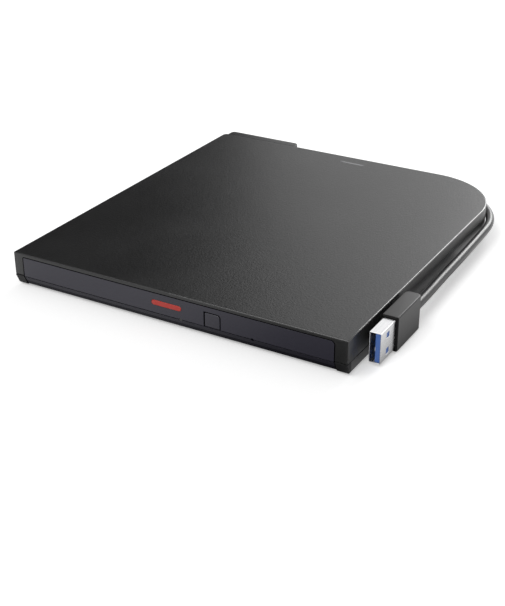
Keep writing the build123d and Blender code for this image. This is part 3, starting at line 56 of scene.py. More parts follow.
def connect(node, inputs):
    """Links each input, found by label or number, to a socket, or sets it to a value."""
    for label, source in inputs.items():
        if isinstance(source, bpy.types.NodeSocket):
            node.id_data.links.new(source, node.inputs[label])
        else:
            node.inputs[label].default_value = source
    return node


def add_node(tree, kind, inputs, **settings):
    """A shader node with its settings and its inputs."""
    node = tree.nodes.new(f"ShaderNode{kind}")
    for label, value in settings.items():
        setattr(node, label, value)
    return connect(node, inputs)


def math_node(tree, kind, first, second):
    """What a Math node makes of two sockets or plain numbers."""
    return add_node(tree, "Math", {0: first, 1: second}, operation=kind).outputs[0]


def add_product(tree, base, first, second):
    """base plus first times second."""
    return math_node(tree, "ADD", base, math_node(tree, "MULTIPLY", first, second))


def noise_node(tree, coordinate, scale, detail, roughness):
    """A Noise Texture on the coordinate."""
    inputs = {"Vector": coordinate, "Scale": scale, "Detail": detail, "Roughness": roughness}
    return add_node(tree, "TexNoise", inputs).outputs["Fac"]


def object_place(tree):
    """The place of the shaded point in its object."""
    return tree.nodes.new("ShaderNodeTexCoord").outputs["Object"]


def value_group(name, inputs):
    """An empty shader group with number inputs, which puts out a tone, a roughness and a
    height, its inputs' sockets, and its output node."""
    group = bpy.data.node_groups.new(name, "ShaderNodeTree")
    for label, value in inputs.items():
        socket = group.interface.new_socket(label, in_out="INPUT", socket_type="NodeSocketFloat")
        socket.default_value = value
    for label in ("Tone", "Roughness", "Height"):
        group.interface.new_socket(label, in_out="OUTPUT", socket_type="NodeSocketFloat")
    return group, group.nodes.new("NodeGroupInput").outputs, group.nodes.new("NodeGroupOutput")


# Eroded mould texture: a fine pebble from a noise and a cell pattern, with a broad, faint
# change of gloss where the surface was handled.
eroded, eroded_in, eroded_out = value_group(
    "eroded_texture", {"Grain": 3200.0, "Gloss Change": 0.06, "Tone Change": 0.1, "Roughness": 0.4}
)
place = object_place(eroded)
pebble = noise_node(eroded, place, eroded_in["Grain"], 3.0, 0.6)
broad = noise_node(eroded, place, 26.0, 4.0, 0.55)
cell_scale = math_node(eroded, "MULTIPLY", eroded_in["Grain"], 0.55)
cells = add_node(eroded, "TexVoronoi", {"Vector": place, "Scale": cell_scale}).outputs["Distance"]
swing = math_node(eroded, "ADD", *(math_node(eroded, "SUBTRACT", noise, 0.5) for noise in (broad, pebble)))
eroded_results = {
    "Tone": add_product(eroded, 1.0, eroded_in["Tone Change"], swing),
    "Roughness": add_product(eroded, eroded_in["Roughness"], eroded_in["Gloss Change"], swing),
    "Height": add_product(eroded, pebble, cells, 0.5),
}
connect(eroded_out, eroded_results)


def shader_of(material):
    """The material's Principled shader."""
    return material.node_tree.nodes["Principled BSDF"]


def new_material(name, inputs):
    """A material whose Principled shader has these inputs."""
    material = bpy.data.materials.new(name)
    material.use_nodes = True
    connect(shader_of(material), inputs)
    return material


def textured(name, group, settings, colour, relief, metallic=0.0):
    """A material that takes its tone, roughness and relief, in metres, from a group."""
    material = new_material(name, {"Metallic": metallic, "Coat Roughness": 0.12})
    tree = material.node_tree
    surface = add_node(tree, "Group", settings, node_tree=group).outputs
    tint = add_node(tree, "VectorMath", {0: colour, "Scale": surface["Tone"]}, operation="SCALE").outputs[0]
    bump = add_node(tree, "Bump", {"Distance": relief, "Height": surface["Height"]}).outputs[0]
    connect(shader_of(material), {"Base Color": tint, "Roughness": surface["Roughness"], "Normal": bump})
    return material


def grained(
    name, colour, roughness, grain=3200.0, relief=0.000006, gloss=0.06, tone=0.1, shine=0.5, metallic=0.0
):
    """Plastic, rubber or cast metal with the eroded texture. gloss and tone say how much
    these change, and the mirror part is weaker where shine is under a half."""
    settings = {"Grain": grain, "Gloss Change": gloss, "Tone Change": tone, "Roughness": roughness}
    material = textured(name, eroded, settings, colour, relief, metallic)
    connect(shader_of(material), {"Specular IOR Level": shine})
    return material


def object_axes(tree):
    """The place of the shaded point in its object, as the outputs X, Y and Z."""
    return add_node(tree, "SeparateXYZ", {0: object_place(tree)}).outputs


def blend_in(tree, socket, mask, value):
    """Moves the socket's number toward value where the mask is 1."""
    before = socket.links[0].from_socket if socket.is_linked else socket.default_value
    kept = math_node(tree, "MULTIPLY", math_node(tree, "SUBTRACT", 1.0, mask), before)
    tree.links.new(add_product(tree, kept, mask, value), socket)


def zone(material, limits, tone=None, **settings):
    """Changes the material inside a box of object coordinates, whose sides are given for
    each axis, as for painted shade in a gap or for a rubbed edge. tone scales the colour there."""
    tree, shader = material.node_tree, shader_of(material)
    axes = object_axes(tree)
    mask = 1.0
    for axis, sides in limits.items():
        for kind, side in zip(("GREATER_THAN", "LESS_THAN"), sides):
            mask = math_node(tree, "MULTIPLY", math_node(tree, kind, axes[axis], side), mask)
    if tone is not None:
        blend_in(tree, shader.inputs["Base Color"].links[0].from_node.inputs["Scale"], mask, tone)
    for label, value in settings.items():
        blend_in(tree, shader.inputs[label.replace("_", " ")], mask, value)


def add_object(name, data):
    """An object that brings a mesh, a curve, a lamp or a camera into the scene."""
    thing = bpy.data.objects.new(name, data)
    bpy.context.collection.objects.link(thing)
    return thing


def settle(piece, slot, *replaced, body="enclosure"):
    """The piece stands for the nodes, which it hides, and moves with the body, where one
    is given. slot is not used."""
    if body:
        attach(piece, body)
    if replaced:
        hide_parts(*replaced)
    return piece


def finished(name, mesh, material, merge, width=0.0, flatten=False):
    """An object that shows the mesh, its doubled points joined. Flat facets become one
    face, or else faces are turned outwards. It is smooth between its sharp edges, and
    these are rounded by width."""
    work = bmesh.new()
    work.from_mesh(mesh)
    bmesh.ops.remove_doubles(work, verts=work.verts, dist=merge)
    if flatten:
        bmesh.ops.dissolve_limit(work, angle_limit=0.004, verts=work.verts, edges=work.edges)
    else:
        bmesh.ops.recalc_face_normals(work, faces=work.faces)
    work.to_mesh(mesh)
    work.free()
    mesh.materials.clear()
    mesh.materials.append(material)
    mesh.set_sharp_from_angle(angle=math.radians(32))
    for polygon in mesh.polygons:
        polygon.use_smooth = True
    piece = add_object(name, mesh)
    if width:
        edge = piece.modifiers.new("edges", "BEVEL")
        edge.limit_method = "ANGLE"
        edge.angle_limit = math.radians(40)
        edge.width = width
        edge.segments = 2
        edge.harden_normals = True
    return piece


def from_solid(node, material, slot, edge=0.0, body="enclosure"):
    """A finished copy of a solid's mesh, which keeps its exact shape and stands for it."""
    piece = finished(f"{node}_form", nodes[node].data.copy(), material, 0.000002, edge, flatten=True)
    return settle(piece, slot, node, body=body)


base_plastic = grained("eroded_base_plastic", base_colour, base_roughness)
zone(base_plastic, base_slope, Specular_IOR_Level=0.15, Roughness=0.55)
from_solid("base_cover", base_plastic, "base", base_edge)


# Label
# A bare silver foil label lies in the shallow place under the base.
label_low, label_high, label_corner = (-0.0325, -0.0210, 0.0007), (0.0325, 0.0160, 0.0008), 0.001


def net(rows, columns, loop=False):
    """Faces of rows of points, each row closed on itself. The first and last rows are
    closed by one face each, or joined to each other where loop is true."""
    row = np.arange(rows if loop else rows - 1)[:, None]
    column = np.arange(columns)[None]
    right = (column + 1) % columns
    above = (row + 1) % rows
    corners = [row * columns + column, row * columns + right, above * columns + right, above * columns + column]
    faces = np.stack(corners, axis=-1).reshape(-1, 4).tolist()
    if not loop:
        faces.append(list(range(columns))[::-1])
        faces.append(list(range((rows - 1) * columns, rows * columns)))
    return faces


def quarter(count):
    """Angles from 0 to a right angle."""
    return np.linspace(0, math.pi / 2, count)


def corner_arc(corner, inward, radius, inset, start, count):
    """A corner's quarter circle from the angle start on, moved in by inset: its radius
    shrinks about a centre that stays as long as it can. inward, 1 or -1 in x and y, is
    the way from the corner to the centre."""
    centre = np.add(corner, np.multiply(inward, max(radius, inset)))
    angle = start + quarter(count)
    return centre + max(radius - inset, 0.0) * np.stack([np.cos(angle), np.sin(angle)], -1)


def rounded_ring(low, high, radii, inset=0.0, steps=6):
    """The outline of a rounded rectangle between two corners, moved in by inset. Its
    corners run from the upper right one round to the left, and share a radius where
    radii is one number."""
    corners = ((high, (-1, -1)), ((low[0], high[1]), (1, -1)), (low, (1, 1)), ((high[0], low[1]), (-1, 1)))
    arcs = [
        corner_arc(*corner, radius, inset, number * math.pi / 2, steps)
        for number, (corner, radius) in enumerate(zip(corners, np.broadcast_to(radii, 4)))
    ]
    return np.concatenate(arcs)


def soft_block(low, high, radii, ends, order=(0, 1, 2), steps=6):
    """A block whose outline is a rounded rectangle in its first two measures, and whose
    two ends along the third are rounded. At the angle a of an end's quarter circle the
    outline moves in by end times 1 - sin a, and along by end times 1 - cos a. order says
    which measure is x, which is y and which is z."""
    rows = []
    for end, level, step in ((ends[0], low[2], 1), (ends[1], high[2], -1)):
        for angle in quarter(steps)[::step] if end else [math.pi / 2]:
            ring = rounded_ring(low[:2], high[:2], radii, end * (1 - math.sin(angle)), steps)
            height = np.full((len(ring), 1), level + step * end * (1 - math.cos(angle)))
            rows.append(np.hstack([ring, height])[:, order])
    return np.concatenate(rows), net(len(rows), len(rows[0]))


def make_piece(name, parts, material, slot, *replaced, body="enclosure"):
    """One settled piece from a list of (points, faces)."""
    points = np.concatenate([part[0] for part in parts])
    starts = np.cumsum([0] + [len(part[0]) for part in parts])
    faces = [[start + index for index in face] for start, part in zip(starts, parts) for face in part[1]]
    mesh = bpy.data.meshes.new(name)
    mesh.from_pydata(points.tolist(), [], faces)
    return settle(finished(name, mesh, material, 0.000001), slot, *replaced, body=body)


foil = grained("silver_foil", (0.5,) * 3, 0.42, 900.0, relief=0.000004, gloss=0.15, tone=0.08, metallic=0.6)
label_part = soft_block(label_low, label_high, label_corner, (0, 0))
make_piece("bare_label", [label_part], foil, "sheet")


# Rubber feet and case screws
# Round feet of soft black rubber are glued in recesses, and the case screws are small
# steel pan heads, blacked, with a cross recess.
feet = ((-0.0605, -0.0695), (0.0605, -0.0695), (-0.0605, 0.0645), (0.0453, 0.0645))
foot_profile = [(0, 0), (0.0039, 0), (0.00435, 0.00012), (0.0045, 0.0003), (0.0045, 0.001), (0, 0.001)]
case_screws = ((-0.0676, -0.0665), (0.0676, -0.0665), (-0.0676, 0.032), (0.0581, 0.0583))
case_screw_level, case_screw_size = 0.0021, (0.001, 0.008, 0.0019, 0.0012)


def tipped(points, centre, turn):
    """Points given round an upright axis, moved to an axis through centre that is tipped
    by turn: an angle from upright, and a heading."""
    lean, heading = turn
    level = np.array([math.cos(heading), math.sin(heading), 0])
    upright = np.array([0, 0, 1.0])
    along = math.sin(lean) * level + math.cos(lean) * upright
    first = math.cos(lean) * level - math.sin(lean) * upright
    return (points @ np.stack([first, np.cross(along, first), along])).reshape(-1, 3) + centre


def turned(profile, centre, turn=(0.0, 0.0), steps=48, dent=None):
    """Points and faces of a profile carried round an axis. The profile's rows are radius
    and height, and its ends lie on the axis or are closed by a flat face. dent is a
    function of the two cross measures that says how far a point sinks."""
    profile = np.asarray(profile, float)
    angle = np.linspace(0, 2 * math.pi, steps, endpoint=False)
    across = profile[:, 0, None] * np.cos(angle)
    beside = profile[:, 0, None] * np.sin(angle)
    height = np.broadcast_to(profile[:, 1, None], across.shape)
    if dent:
        height = height - dent(across, beside)
    return tipped(np.stack([across, beside, height], -1), centre, turn), net(len(profile), steps)


soft_rubber = grained("soft_black_rubber", (0.016,) * 3, 0.62, 5200.0, relief=0.00001, gloss=0.1, tone=0.2)
foot_parts = [turned(foot_profile, (x, y, 0)) for x, y in feet]
make_piece("rubber_foot_set", foot_parts, soft_rubber, "rubber", "rubber_feet")

# Rolled or drawn metal: long streaks along one direction, with a finer grain across them.
drawn_inputs = {f"Streak {axis}": 3000.0 for axis in "XYZ"}
drawn, drawn_in, drawn_out = value_group("drawn_metal", {**drawn_inputs, "Roughness": 0.3, "Gloss Change": 0.15})
spread = add_node(drawn, "CombineXYZ", {axis: drawn_in[f"Streak {axis}"] for axis in "XYZ"}).outputs[0]
stretched = add_node(drawn, "VectorMath", {0: object_place(drawn), 1: spread}, operation="MULTIPLY").outputs[0]
streaks = noise_node(drawn, stretched, 1.0, 4.0, 0.6)
streak_swing = math_node(drawn, "SUBTRACT", streaks, 0.5)
drawn_results = {
    "Tone": add_product(drawn, 1.0, streak_swing, 0.25),
    "Roughness": add_product(drawn, drawn_in["Roughness"], drawn_in["Gloss Change"], streak_swing),
    "Height": streaks,
}
connect(drawn_out, drawn_results)


def metal(name, colour, roughness, streak=(30.0, 3000.0, 3000.0), gloss=0.15, relief=0.000002):
    """Bare or plated metal with streaks along the axis whose streak number is small."""
    settings = {f"Streak {axis}": number for axis, number in zip("XYZ", streak)}
    settings |= {"Roughness": roughness, "Gloss Change": gloss}
    return textured(name, drawn, settings, colour, relief, metallic=1.0)


def cross_screw(place, radius, length, head_radius, head_height, lean=0.0, heading=0.0):
    """A pan head screw with its head's underside at place. At the share s of its radius
    the head's height is 0.55 plus 0.45 times the root of 1 - s^4 of the whole. A cross of
    two bars sinks into it: a point sinks by the depth where the smaller of its cross
    measures is within half a bar, and less towards the bars' ends. lean and heading tip
    the screw from upright."""
    depth, bar, bar_reach = head_height * 0.6, head_radius * 0.14, head_radius * 0.62

    def cross(across, beside):
        narrow = np.minimum(abs(across), abs(beside))
        out = np.hypot(across, beside)
        inside = np.clip((bar - narrow) / (bar * 0.5) + 0.5, 0, 1)
        return depth * inside * np.clip((bar_reach - out) / (head_radius * 0.12), 0, 1)

    out = np.concatenate([np.linspace(0, 0.72, 16), np.linspace(0.78, 1.0, 6)]) * head_radius
    dome = head_height * (0.55 + 0.45 * np.sqrt(np.clip(1 - (out / head_radius) ** 4, 0, 1)))
    head = turned(np.stack([out, dome], -1), place, (lean, heading), 64, cross)
    rim = [(head_radius, dome[-1]), (head_radius, 0.0), (radius, 0.0), (radius, -0.88 * length)]
    shank = turned([*rim, (radius * 0.5, -length), (0.0, -length)], place, (lean, heading), 64)
    return [(points, [face for face in faces if len(face) == 4]) for points, faces in (head, shank)]


def screw_set(name, places, size, material, slot, node, body="enclosure"):
    """Like screws as one piece. A place is a screw's x, y and z, and how it is tipped."""
    parts = [part for place in places for part in cross_screw(place[:3], *size, *place[3:])]
    make_piece(name, parts, material, slot, node, body=body)


black_oxide = metal("black_oxide_steel", (0.05, 0.05, 0.055), 0.38, streak=(900.0,) * 3)
case_set = [(x, y, case_screw_level, math.pi) for x, y in case_screws]
screw_set("case_screw_set", case_set, case_screw_size, black_oxide, "screw", "case_screws")


# Bridge board
# Behind the mechanism a small green board on two posts turns the drive's signals into
# the lead's. It carries two chips, a clock, the lead's socket and the power lamp.
board_colour, track_tone, track_spacing, track_depth = (0.012, 0.075, 0.03), 1.7, 420.0, 0.00003
leg_reach, leg_pitch, leg_width, leg_sheet, leg_margin = 0.0006, 0.0005, 0.00022, 0.00012, 0.0003
bridge_level = 0.005
bridge_places = (
    ((-0.03278, 0.06325), (-0.02978, 0.06625), 0.0012, "y"),
    ((-0.02538, 0.06447), (-0.02198, 0.06707), 0.0008, "x"),
    ((0.01182, 0.0607), (0.01682, 0.0647), 0.001, "x"),
    ((-0.00234, 0.05861), (0.00666, 0.06761), 0.001, "xy"),
)
clock_low, clock_high, clock_corner = (0.01865, 0.06581, 0.005), (0.02215, 0.06861, 0.0066), 0.0006


def colour_ramp(tree, source, stops, interpolation="LINEAR"):
    """The colours of a ramp. Each stop is a place from 0 to 1 and its colour."""
    node = add_node(tree, "ValToRGB", {0: source})
    node.color_ramp.interpolation = interpolation
    elements = node.color_ramp.elements
    for number, (where, colour) in enumerate(stops):
        stop = elements[number] if number < 2 else elements.new(0.99)
        stop.position = where
        stop.color = (*colour, 1)
    return node.outputs[0]


# Green resist over copper: faint tracks from a cell pattern, under a clear gloss.
green_board = new_material("green_board", {"Roughness": 0.32})
board_tree = green_board.node_tree
track_cells = {"Vector": object_place(board_tree), "Scale": track_spacing}
tracks = add_node(board_tree, "TexVoronoi", track_cells, distance="MANHATTAN").outputs["Distance"]
track_stops = ((0.42, [c * track_tone for c in board_colour]), (0.5, board_colour))
resist = colour_ramp(board_tree, tracks, track_stops)
raised = add_node(board_tree, "Bump", {"Distance": track_depth, "Height": resist}, invert=True)
connect(shader_of(green_board), {"Base Color": resist, "Normal": raised.outputs[0]})


def gull_leg(corner, along, outward, rise):
    """A chip's leg as a bent strip: its profile runs from the foot's end on the board to
    the chip's side at the height rise, and it is as wide as a leg along the chip's edge."""
    top = rise + leg_sheet
    profile = [(0, 0), (0.42, 0), (0.6, rise), (1, rise), (1, top), (0.5, top), (0.33, leg_sheet), (0, leg_sheet)]
    rows = [
        [corner + shift * along - out * leg_reach * outward + [0, 0, up] for out, up in profile]
        for shift in (0, leg_width)
    ]
    return np.concatenate(rows), net(2, len(profile))


def chip(low, high, base, height, sides):
    """A chip's black body and its legs, as two lists of parts. sides names the axes along
    which legs stand out, and the body is that much shorter than the chip's place."""
    inset = np.array([leg_reach * (axis in sides) for axis in "xy"])
    body_low, body_high = np.array(low) + inset, np.array(high) - inset
    body = soft_block((*body_low, base + 0.0001), (*body_high, base + height), 0.0001, (0.0, 0.00006), steps=3)
    legs = []
    for axis in ["xy".index(side) for side in sides]:
        other = 1 - axis
        length = body_high[other] - body_low[other] - 2 * leg_margin
        count = max(2, int(length / leg_pitch))
        starts = np.linspace(body_low[other] + leg_margin, body_high[other] - leg_margin - leg_width, count)
        for edge, sign in ((low[axis], -1.0), (high[axis], 1.0)):
            for start in starts:
                corner = np.array([0.0, 0.0, base])
                corner[axis], corner[other] = edge, start
                legs.append(gull_leg(corner, np.eye(3)[other], sign * np.eye(3)[axis], 0.42 * height))
    return [body], legs


def chip_set(name, places, base, node):
    """The bodies of several chips as one piece, and their legs as another."""
    chips = [chip(low, high, base, height, sides) for low, high, height, sides in places]
    bodies, legs = (sum(parts, []) for parts in zip(*chips))
    make_piece(f"{name}_bodies", bodies, chip_black, "chip", node)
    make_piece(f"{name}_legs", legs, tin_metal, "bright")


chip_black = grained("moulded_chip_black", (0.018, 0.018, 0.019), 0.5, 6000.0, relief=0.000004)
natural_white = grained("natural_white_plastic", (0.62, 0.61, 0.57), 0.42)
tin_metal = metal("tinned_pins", (0.7, 0.7, 0.69), 0.3, streak=(600.0,) * 3)
from_solid("bridge_board", green_board, "board", 0.00005)
chip_set("bridge_chip", bridge_places, bridge_level, "bridge_chips")
clock_part = soft_block(clock_low, clock_high, clock_corner, (0.0, 0.00015))
make_piece("clock_can", [clock_part], tin_metal, "bright")
from_solid("bridge_socket", chip_black, "chip", 0.0001)
from_solid("lead_socket", natural_white, "white", 0.0001)
from_solid("power_lamp", natural_white, "white", 0.00005)


# Mechanism pan, guides and board
# The slim mechanism stands in a pressed steel pan. White acetal guides are riveted
# along both sides, and the mechanism's own board lies flat at the back.
drive_level = 0.0038
drive_places = (
    ((-0.0474, 0.02689), (-0.0424, 0.0309), 0.0014, "y"),
    ((0.01977, 0.02822), (0.02577, 0.03322), 0.001, "x"),
    ((0.00463, 0.02376), (0.01263, 0.02976), 0.001, "x"),
    ((-0.01203, 0.02135), (-0.00303, 0.03035), 0.001, "xy"),
    ((-0.03473, 0.01854), (-0.02073, 0.03254), 0.0012, "xy"),
)
rolled_steel = metal("rolled_steel", (0.5, 0.5, 0.51), 0.34)
bright_steel = metal("bright_screw_steel", (0.62, 0.62, 0.63), 0.24, streak=(900.0,) * 3)
acetal = grained("white_acetal", (0.68, 0.67, 0.63), 0.36, 2400.0)
for node, material, slot in (
    ("drive_pan", rolled_steel, "steel"),
    ("guide_left", acetal, "white"),
    ("guide_right", acetal, "white"),
    ("ribbon_socket", natural_white, "white"),
    ("drive_plug", chip_black, "chip"),
    ("drive_bracket", rolled_steel, "steel"),
):
    from_solid(node, material, slot, 0.00008)
from_solid("drive_board", green_board, "board", 0.00005)
chip_set("drive_chip", drive_places, drive_level, "drive_chips")
from_solid("latch_post", bright_steel, "steel", 0.00005)

# The ribbon's lower and upper halves, as the middle line's places in y and z from each
# one's socket to the fold.
ribbon_sides, ribbon_thickness = (0.033, 0.045), 0.00016
ribbon_low, ribbon_high, ribbon_fold = 0.00316, 0.00496, -0.0609
ribbon_dip = [(0.0175, 0.0044), (0.0160, 0.0044), (0.0152, 0.0042), (0.0138, 0.0034), (0.0130, 0.00318)]
lower_start, upper_start = 0.0128, 0.0100
fold_radius, fold_share = (ribbon_high - ribbon_low) / 2, 0.6
copper_film = grained("amber_ribbon_film", (0.42, 0.2, 0.05), 0.22, 900.0, relief=0.000002)


def film_strip(middle):
    """A closed strip of even thickness along a line of y and z, as wide as the ribbon."""
    ahead = np.gradient(middle, axis=0)
    ahead = ahead / np.linalg.norm(ahead, axis=1)[:, None]
    out = np.stack([-ahead[:, 1], ahead[:, 0]], -1) * ribbon_thickness / 2
    low_x, high_x = (np.full((len(middle), 1), x) for x in ribbon_sides)
    rings = [[low_x, middle - out], [high_x, middle - out], [high_x, middle + out], [low_x, middle + out]]
    points = np.stack([np.hstack(ring) for ring in rings], axis=1)
    return points.reshape(-1, 3), net(len(middle), 4)


def ribbon_half(name, before, start, height, side):
    """Half of the ribbon, from its socket to the fold, which turns up or down by side."""
    end = ribbon_fold + fold_radius
    run = [(start + (end - start) * step, height) for step in np.linspace(0, 1, 40)]
    bend = [
        (end - fold_radius * math.sin(angle), height + side * fold_radius * (1 - math.cos(angle)))
        for angle in quarter(7)[1:]
    ]
    strip = film_strip(np.array([*before, *run, *bend]))
    return make_piece(name, [strip], copper_film, "ribbon", "flex_ribbon", body=None)


lower = ribbon_half("ribbon_lower", ribbon_dip, lower_start, ribbon_low, 1)
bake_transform(lower)
upper = ribbon_half("ribbon_upper", [], upper_start, ribbon_high, -1)
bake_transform(upper)

small_screw_size, toward_back = (0.0008, 0.0028, 0.0014, 0.0006), (-0.5 * math.pi, 0.5 * math.pi)
small_screws = [(0.024, 0.072, 0.005), (-0.036, 0.072, 0.005), (0.050, 0.0522, 0.0048)]
small_screws += [(x, 0.0760, 0.0112, *toward_back) for x in (-0.040, -0.066)]
screw_set("small_screw_set", small_screws, small_screw_size, bright_steel, "bright", "small_screws")


# Slide rails
# Bright steel channels slide in the guides and carry the tray's tongues.
rail_steel = metal("bright_rail_steel", (0.66, 0.66, 0.67), 0.22, streak=(3000.0, 30.0, 3000.0))
for side in ("left", "right"):
    from_solid(f"slide_rail_{side}", rail_steel, "steel", 0.00006, f"rail_{side}")


# Disc tray
# The tray is a black moulding, satin on top, with the round dish that the disc lies in
# and a window for the traverse.
tray_plastic = grained("satin_tray_plastic", (0.02, 0.02, 0.021), 0.4, 2600.0)
for solid in (
    ("disc_tray", tray_plastic, "tray", 0.00012, "tray"),
    ("front_board", green_board, "board", 0.00004, "tray"),
    ("button_switch", chip_black, "chip", 0.00008, "tray"),
    ("tray_socket", natural_white, "white", 0.00006, "tray"),
    ("eject_solenoid", rolled_steel, "steel", 0.00008, "tray"),
    ("latch_lever", acetal, "white", 0.00006, "latch"),
):
    from_solid(*solid)


# Traverse
# A stamped steel frame hangs from the tray on three rubber dampers. It carries the rods
# and the screw of the pickup, and a thin lacquered cover hides it from above.
traverse_origin, traverse_heading = (0.0, -0.019), math.radians(225)
damper_places = ((-0.05091, -0.06991), (0.026165, -0.01405), (0.00495, 0.007165))
damper_screw_level, damper_screw_size = 0.0050, (0.0006, 0.0020, 0.0022, 0.0006)
rod_reach, rod_side, rod_height, rod_radius, rod_bevel = (0.0122, 0.0662), 0.0124, 0.005, 0.001, 0.0002
sheet_low, sheet_high, sheet_corner = (-0.0150, 0.0140, 0.00312), (0.0155, 0.0665, 0.00327), 0.003
lacquer = grained("black_lacquered_sheet", (0.022, 0.022, 0.024), 0.3, 1800.0, relief=0.000003)
winding_copper = metal("wound_copper", (0.6, 0.26, 0.12), 0.35, streak=(200.0, 200.0, 4000.0))
ground_steel = metal(
    "ground_steel", (0.68, 0.68, 0.69), 0.14, streak=(2000.0, 2000.0, 60.0), gloss=0.08, relief=0.0000005
)
for solid in (
    ("traverse_frame", rolled_steel, "steel", 0.00008),
    ("traverse_cover", lacquer, "sheet", 0.00006),
    ("rubber_dampers", soft_rubber, "rubber", 0.00008),
    ("sled_motor", rolled_steel, "steel", 0.00012),
    ("spindle_motor", rolled_steel, "steel", 0.00008),
    ("motor_core", winding_copper, "copper", 0.00005),
):
    from_solid(*solid, body="tray")


def on_traverse(along, beside, height):
    """The place in the frame of a point measured along the traverse, beside it and up."""
    first = np.array([math.cos(traverse_heading), math.sin(traverse_heading)])
    second = np.array([-first[1], first[0]])
    return (*(np.array(traverse_origin) + along * first + beside * second), height)


# A thin sheet under the traverse closes it from below, and shows through the pickup's slot.
sheet_points, sheet_faces = soft_block(sheet_low, sheet_high, sheet_corner, (0, 0))
sheet_points = np.array([on_traverse(along, beside, height) for beside, along, height in sheet_points])
make_piece("traverse_bottom", [(sheet_points, sheet_faces)], lacquer, "sheet", body="tray")
damper_set = [(x, y, damper_screw_level, math.pi) for x, y in damper_places]
screw_set("damper_screw_set", damper_set, damper_screw_size, bright_steel, "bright", "damper_screws", "tray")
rod_length = rod_reach[1] - rod_reach[0]
rod_end = [(0, 0), (rod_radius - rod_bevel, 0), (rod_radius, rod_bevel)]
rod_profile = rod_end + [(radius, rod_length - height) for radius, height in rod_end[::-1]]
rod_turn = (0.5 * math.pi, traverse_heading)
rod_starts = [on_traverse(rod_reach[0], side * rod_side, rod_height) for side in (-1, 1)]
rod_parts = [turned(rod_profile, start, rod_turn) for start in rod_starts]
make_piece("guide_rod_set", rod_parts, ground_steel, "bright", "guide_rods", body="tray")


# Turntable, hub and claws
# The motor's rotor is topped by a dark turntable with a rubber ring that grips the disc.
# Three white claws spring out of the hub over the disc's inner edge.
hub_plastic = grained("hub_plastic", (0.03, 0.03, 0.032), 0.34, 3600.0)
from_solid("turntable", hub_plastic, "hub", 0.0001, "spindle")
from_solid("turntable_pad", soft_rubber, "rubber", 0.00006, "spindle")
for number in (1, 2, 3):
    from_solid(f"disc_claw_{number}", acetal, "white", 0.00008, f"claw_{number}")


# Pickup
# A die-cast sled runs on the two rods, driven by the screw. The lens floats in its well.
lens_centre, lens_reach, lens_rise = (-0.016617, -0.035617), (0.00175, 0.0021), (0.0074, 0.00752, 0.00795)
screw_reach, screw_side, screw_radius = (0.017, 0.065), 0.017, 0.001
screw_lead, thread_depth, journal, journal_step = 0.003, 0.00025, 0.0022, 0.0001
cast_metal = grained(
    "die_cast_metal", (0.36, 0.36, 0.37), 0.45, 1800.0, relief=0.00001, gloss=0.1, tone=0.2, metallic=1.0
)
from_solid("pickup_sled", cast_metal, "cast", 0.00012, "pickup")
from_solid("lens_holder", hub_plastic, "hub", 0.0001, "focus")
lens_finish = {"Base Color": (0.35, 0.42, 0.75, 1), "Roughness": 0.03, "Transmission Weight": 0.7}
lens_finish |= {"Coat Weight": 1.0, "Coat Tint": (0.5, 0.45, 1.0, 1)}
lens_glass = new_material("coated_lens", lens_finish)
# The lens's dome falls with the square of the distance from its middle.
out = np.linspace(0, 1, 12)
dome = lens_rise[1] + (lens_rise[2] - lens_rise[1]) * (1 - out**2)
lens_profile = [*zip(out * lens_reach[0], dome), (lens_reach[1], lens_rise[1]), (lens_reach[1], lens_rise[0])]
lens_part = turned([*lens_profile, (0, lens_rise[0])], (*lens_centre, 0.0), steps=64)
make_piece("pickup_lens_glass", [lens_part], lens_glass, "lens", "pickup_lens", body="focus")


def threaded_rod(place, turn, length):
    """A rod with one rounded helical groove. Its radius at the angle a and the distance s
    is the full radius less the depth times the cube of the mean of 1 and cos(2 pi s / lead
    - a), with plain ends."""
    distance = np.linspace(0, length, 480)[:, None]
    angle = np.linspace(0, 2 * math.pi, 36, endpoint=False)
    wave = 0.5 + 0.5 * np.cos(2 * math.pi * distance / screw_lead - angle)
    inner = np.clip(np.minimum(distance, length - distance) / journal - 0.8, 0, 0.2) / 0.2
    radius = screw_radius - thread_depth * wave**3 * inner - journal_step * (1 - inner)
    points = [radius * np.cos(angle), radius * np.sin(angle), np.broadcast_to(distance, radius.shape)]
    return tipped(np.stack(points, -1), place, turn), net(len(distance), len(angle))


screw_start = on_traverse(screw_reach[0], screw_side, rod_height)
screw_part = threaded_rod(screw_start, rod_turn, screw_reach[1] - screw_reach[0])
make_piece("threaded_lead_screw", [screw_part], ground_steel, "bright", "lead_screw", body="screw")


# Tray front
# The tray's front is a glossier moulding than the lid. A groove level with the case's
# seam runs across it, and its lower lip slopes back. A red bar is pressed into it.
front_gap_shade, lip_matt_and_shade = {"Y": (-0.08235, -0.0812), "Z": (0.0047, 0.02)}, {"Z": (0.0, 0.0046)}
lip_underside_shade, button_gap_shade = {"Z": (0.0, 0.0029)}, {"Y": (-0.0823, -0.0812)}
bar_low, bar_high, bar_corner, bar_round = (-0.00778, 0.00818, -0.0826), (0.00518, 0.01022, -0.0819), 0.00102, 0.0002
cap_low, cap_high = (0.01524, 0.0051, -0.0825), (0.02156, 0.01056, -0.0801)
cap_corners, cap_round = (0.0011, 0.0003, 0.0003, 0.0003), 0.00028
flange_low, flange_high = (0.0144, 0.0047, -0.08025), (0.0224, 0.0114, -0.07955)
flange_corner, flange_round = 0.0005, 0.0001
front_order = (0, 2, 1)
satin = {"grain": 2600.0, "relief": 0.000003, "gloss": 0.05}
front_plastic = grained("satin_front_plastic", (0.021, 0.0195, 0.031), 0.3, **satin, shine=0.45)
# Painted shade: behind the front's face, the sides and top in the gaps and inside the groove are darkened to 0.12 of
# the colour, with almost no mirror part.
zone(front_plastic, front_gap_shade, 0.12, Specular_IOR_Level=0.01)
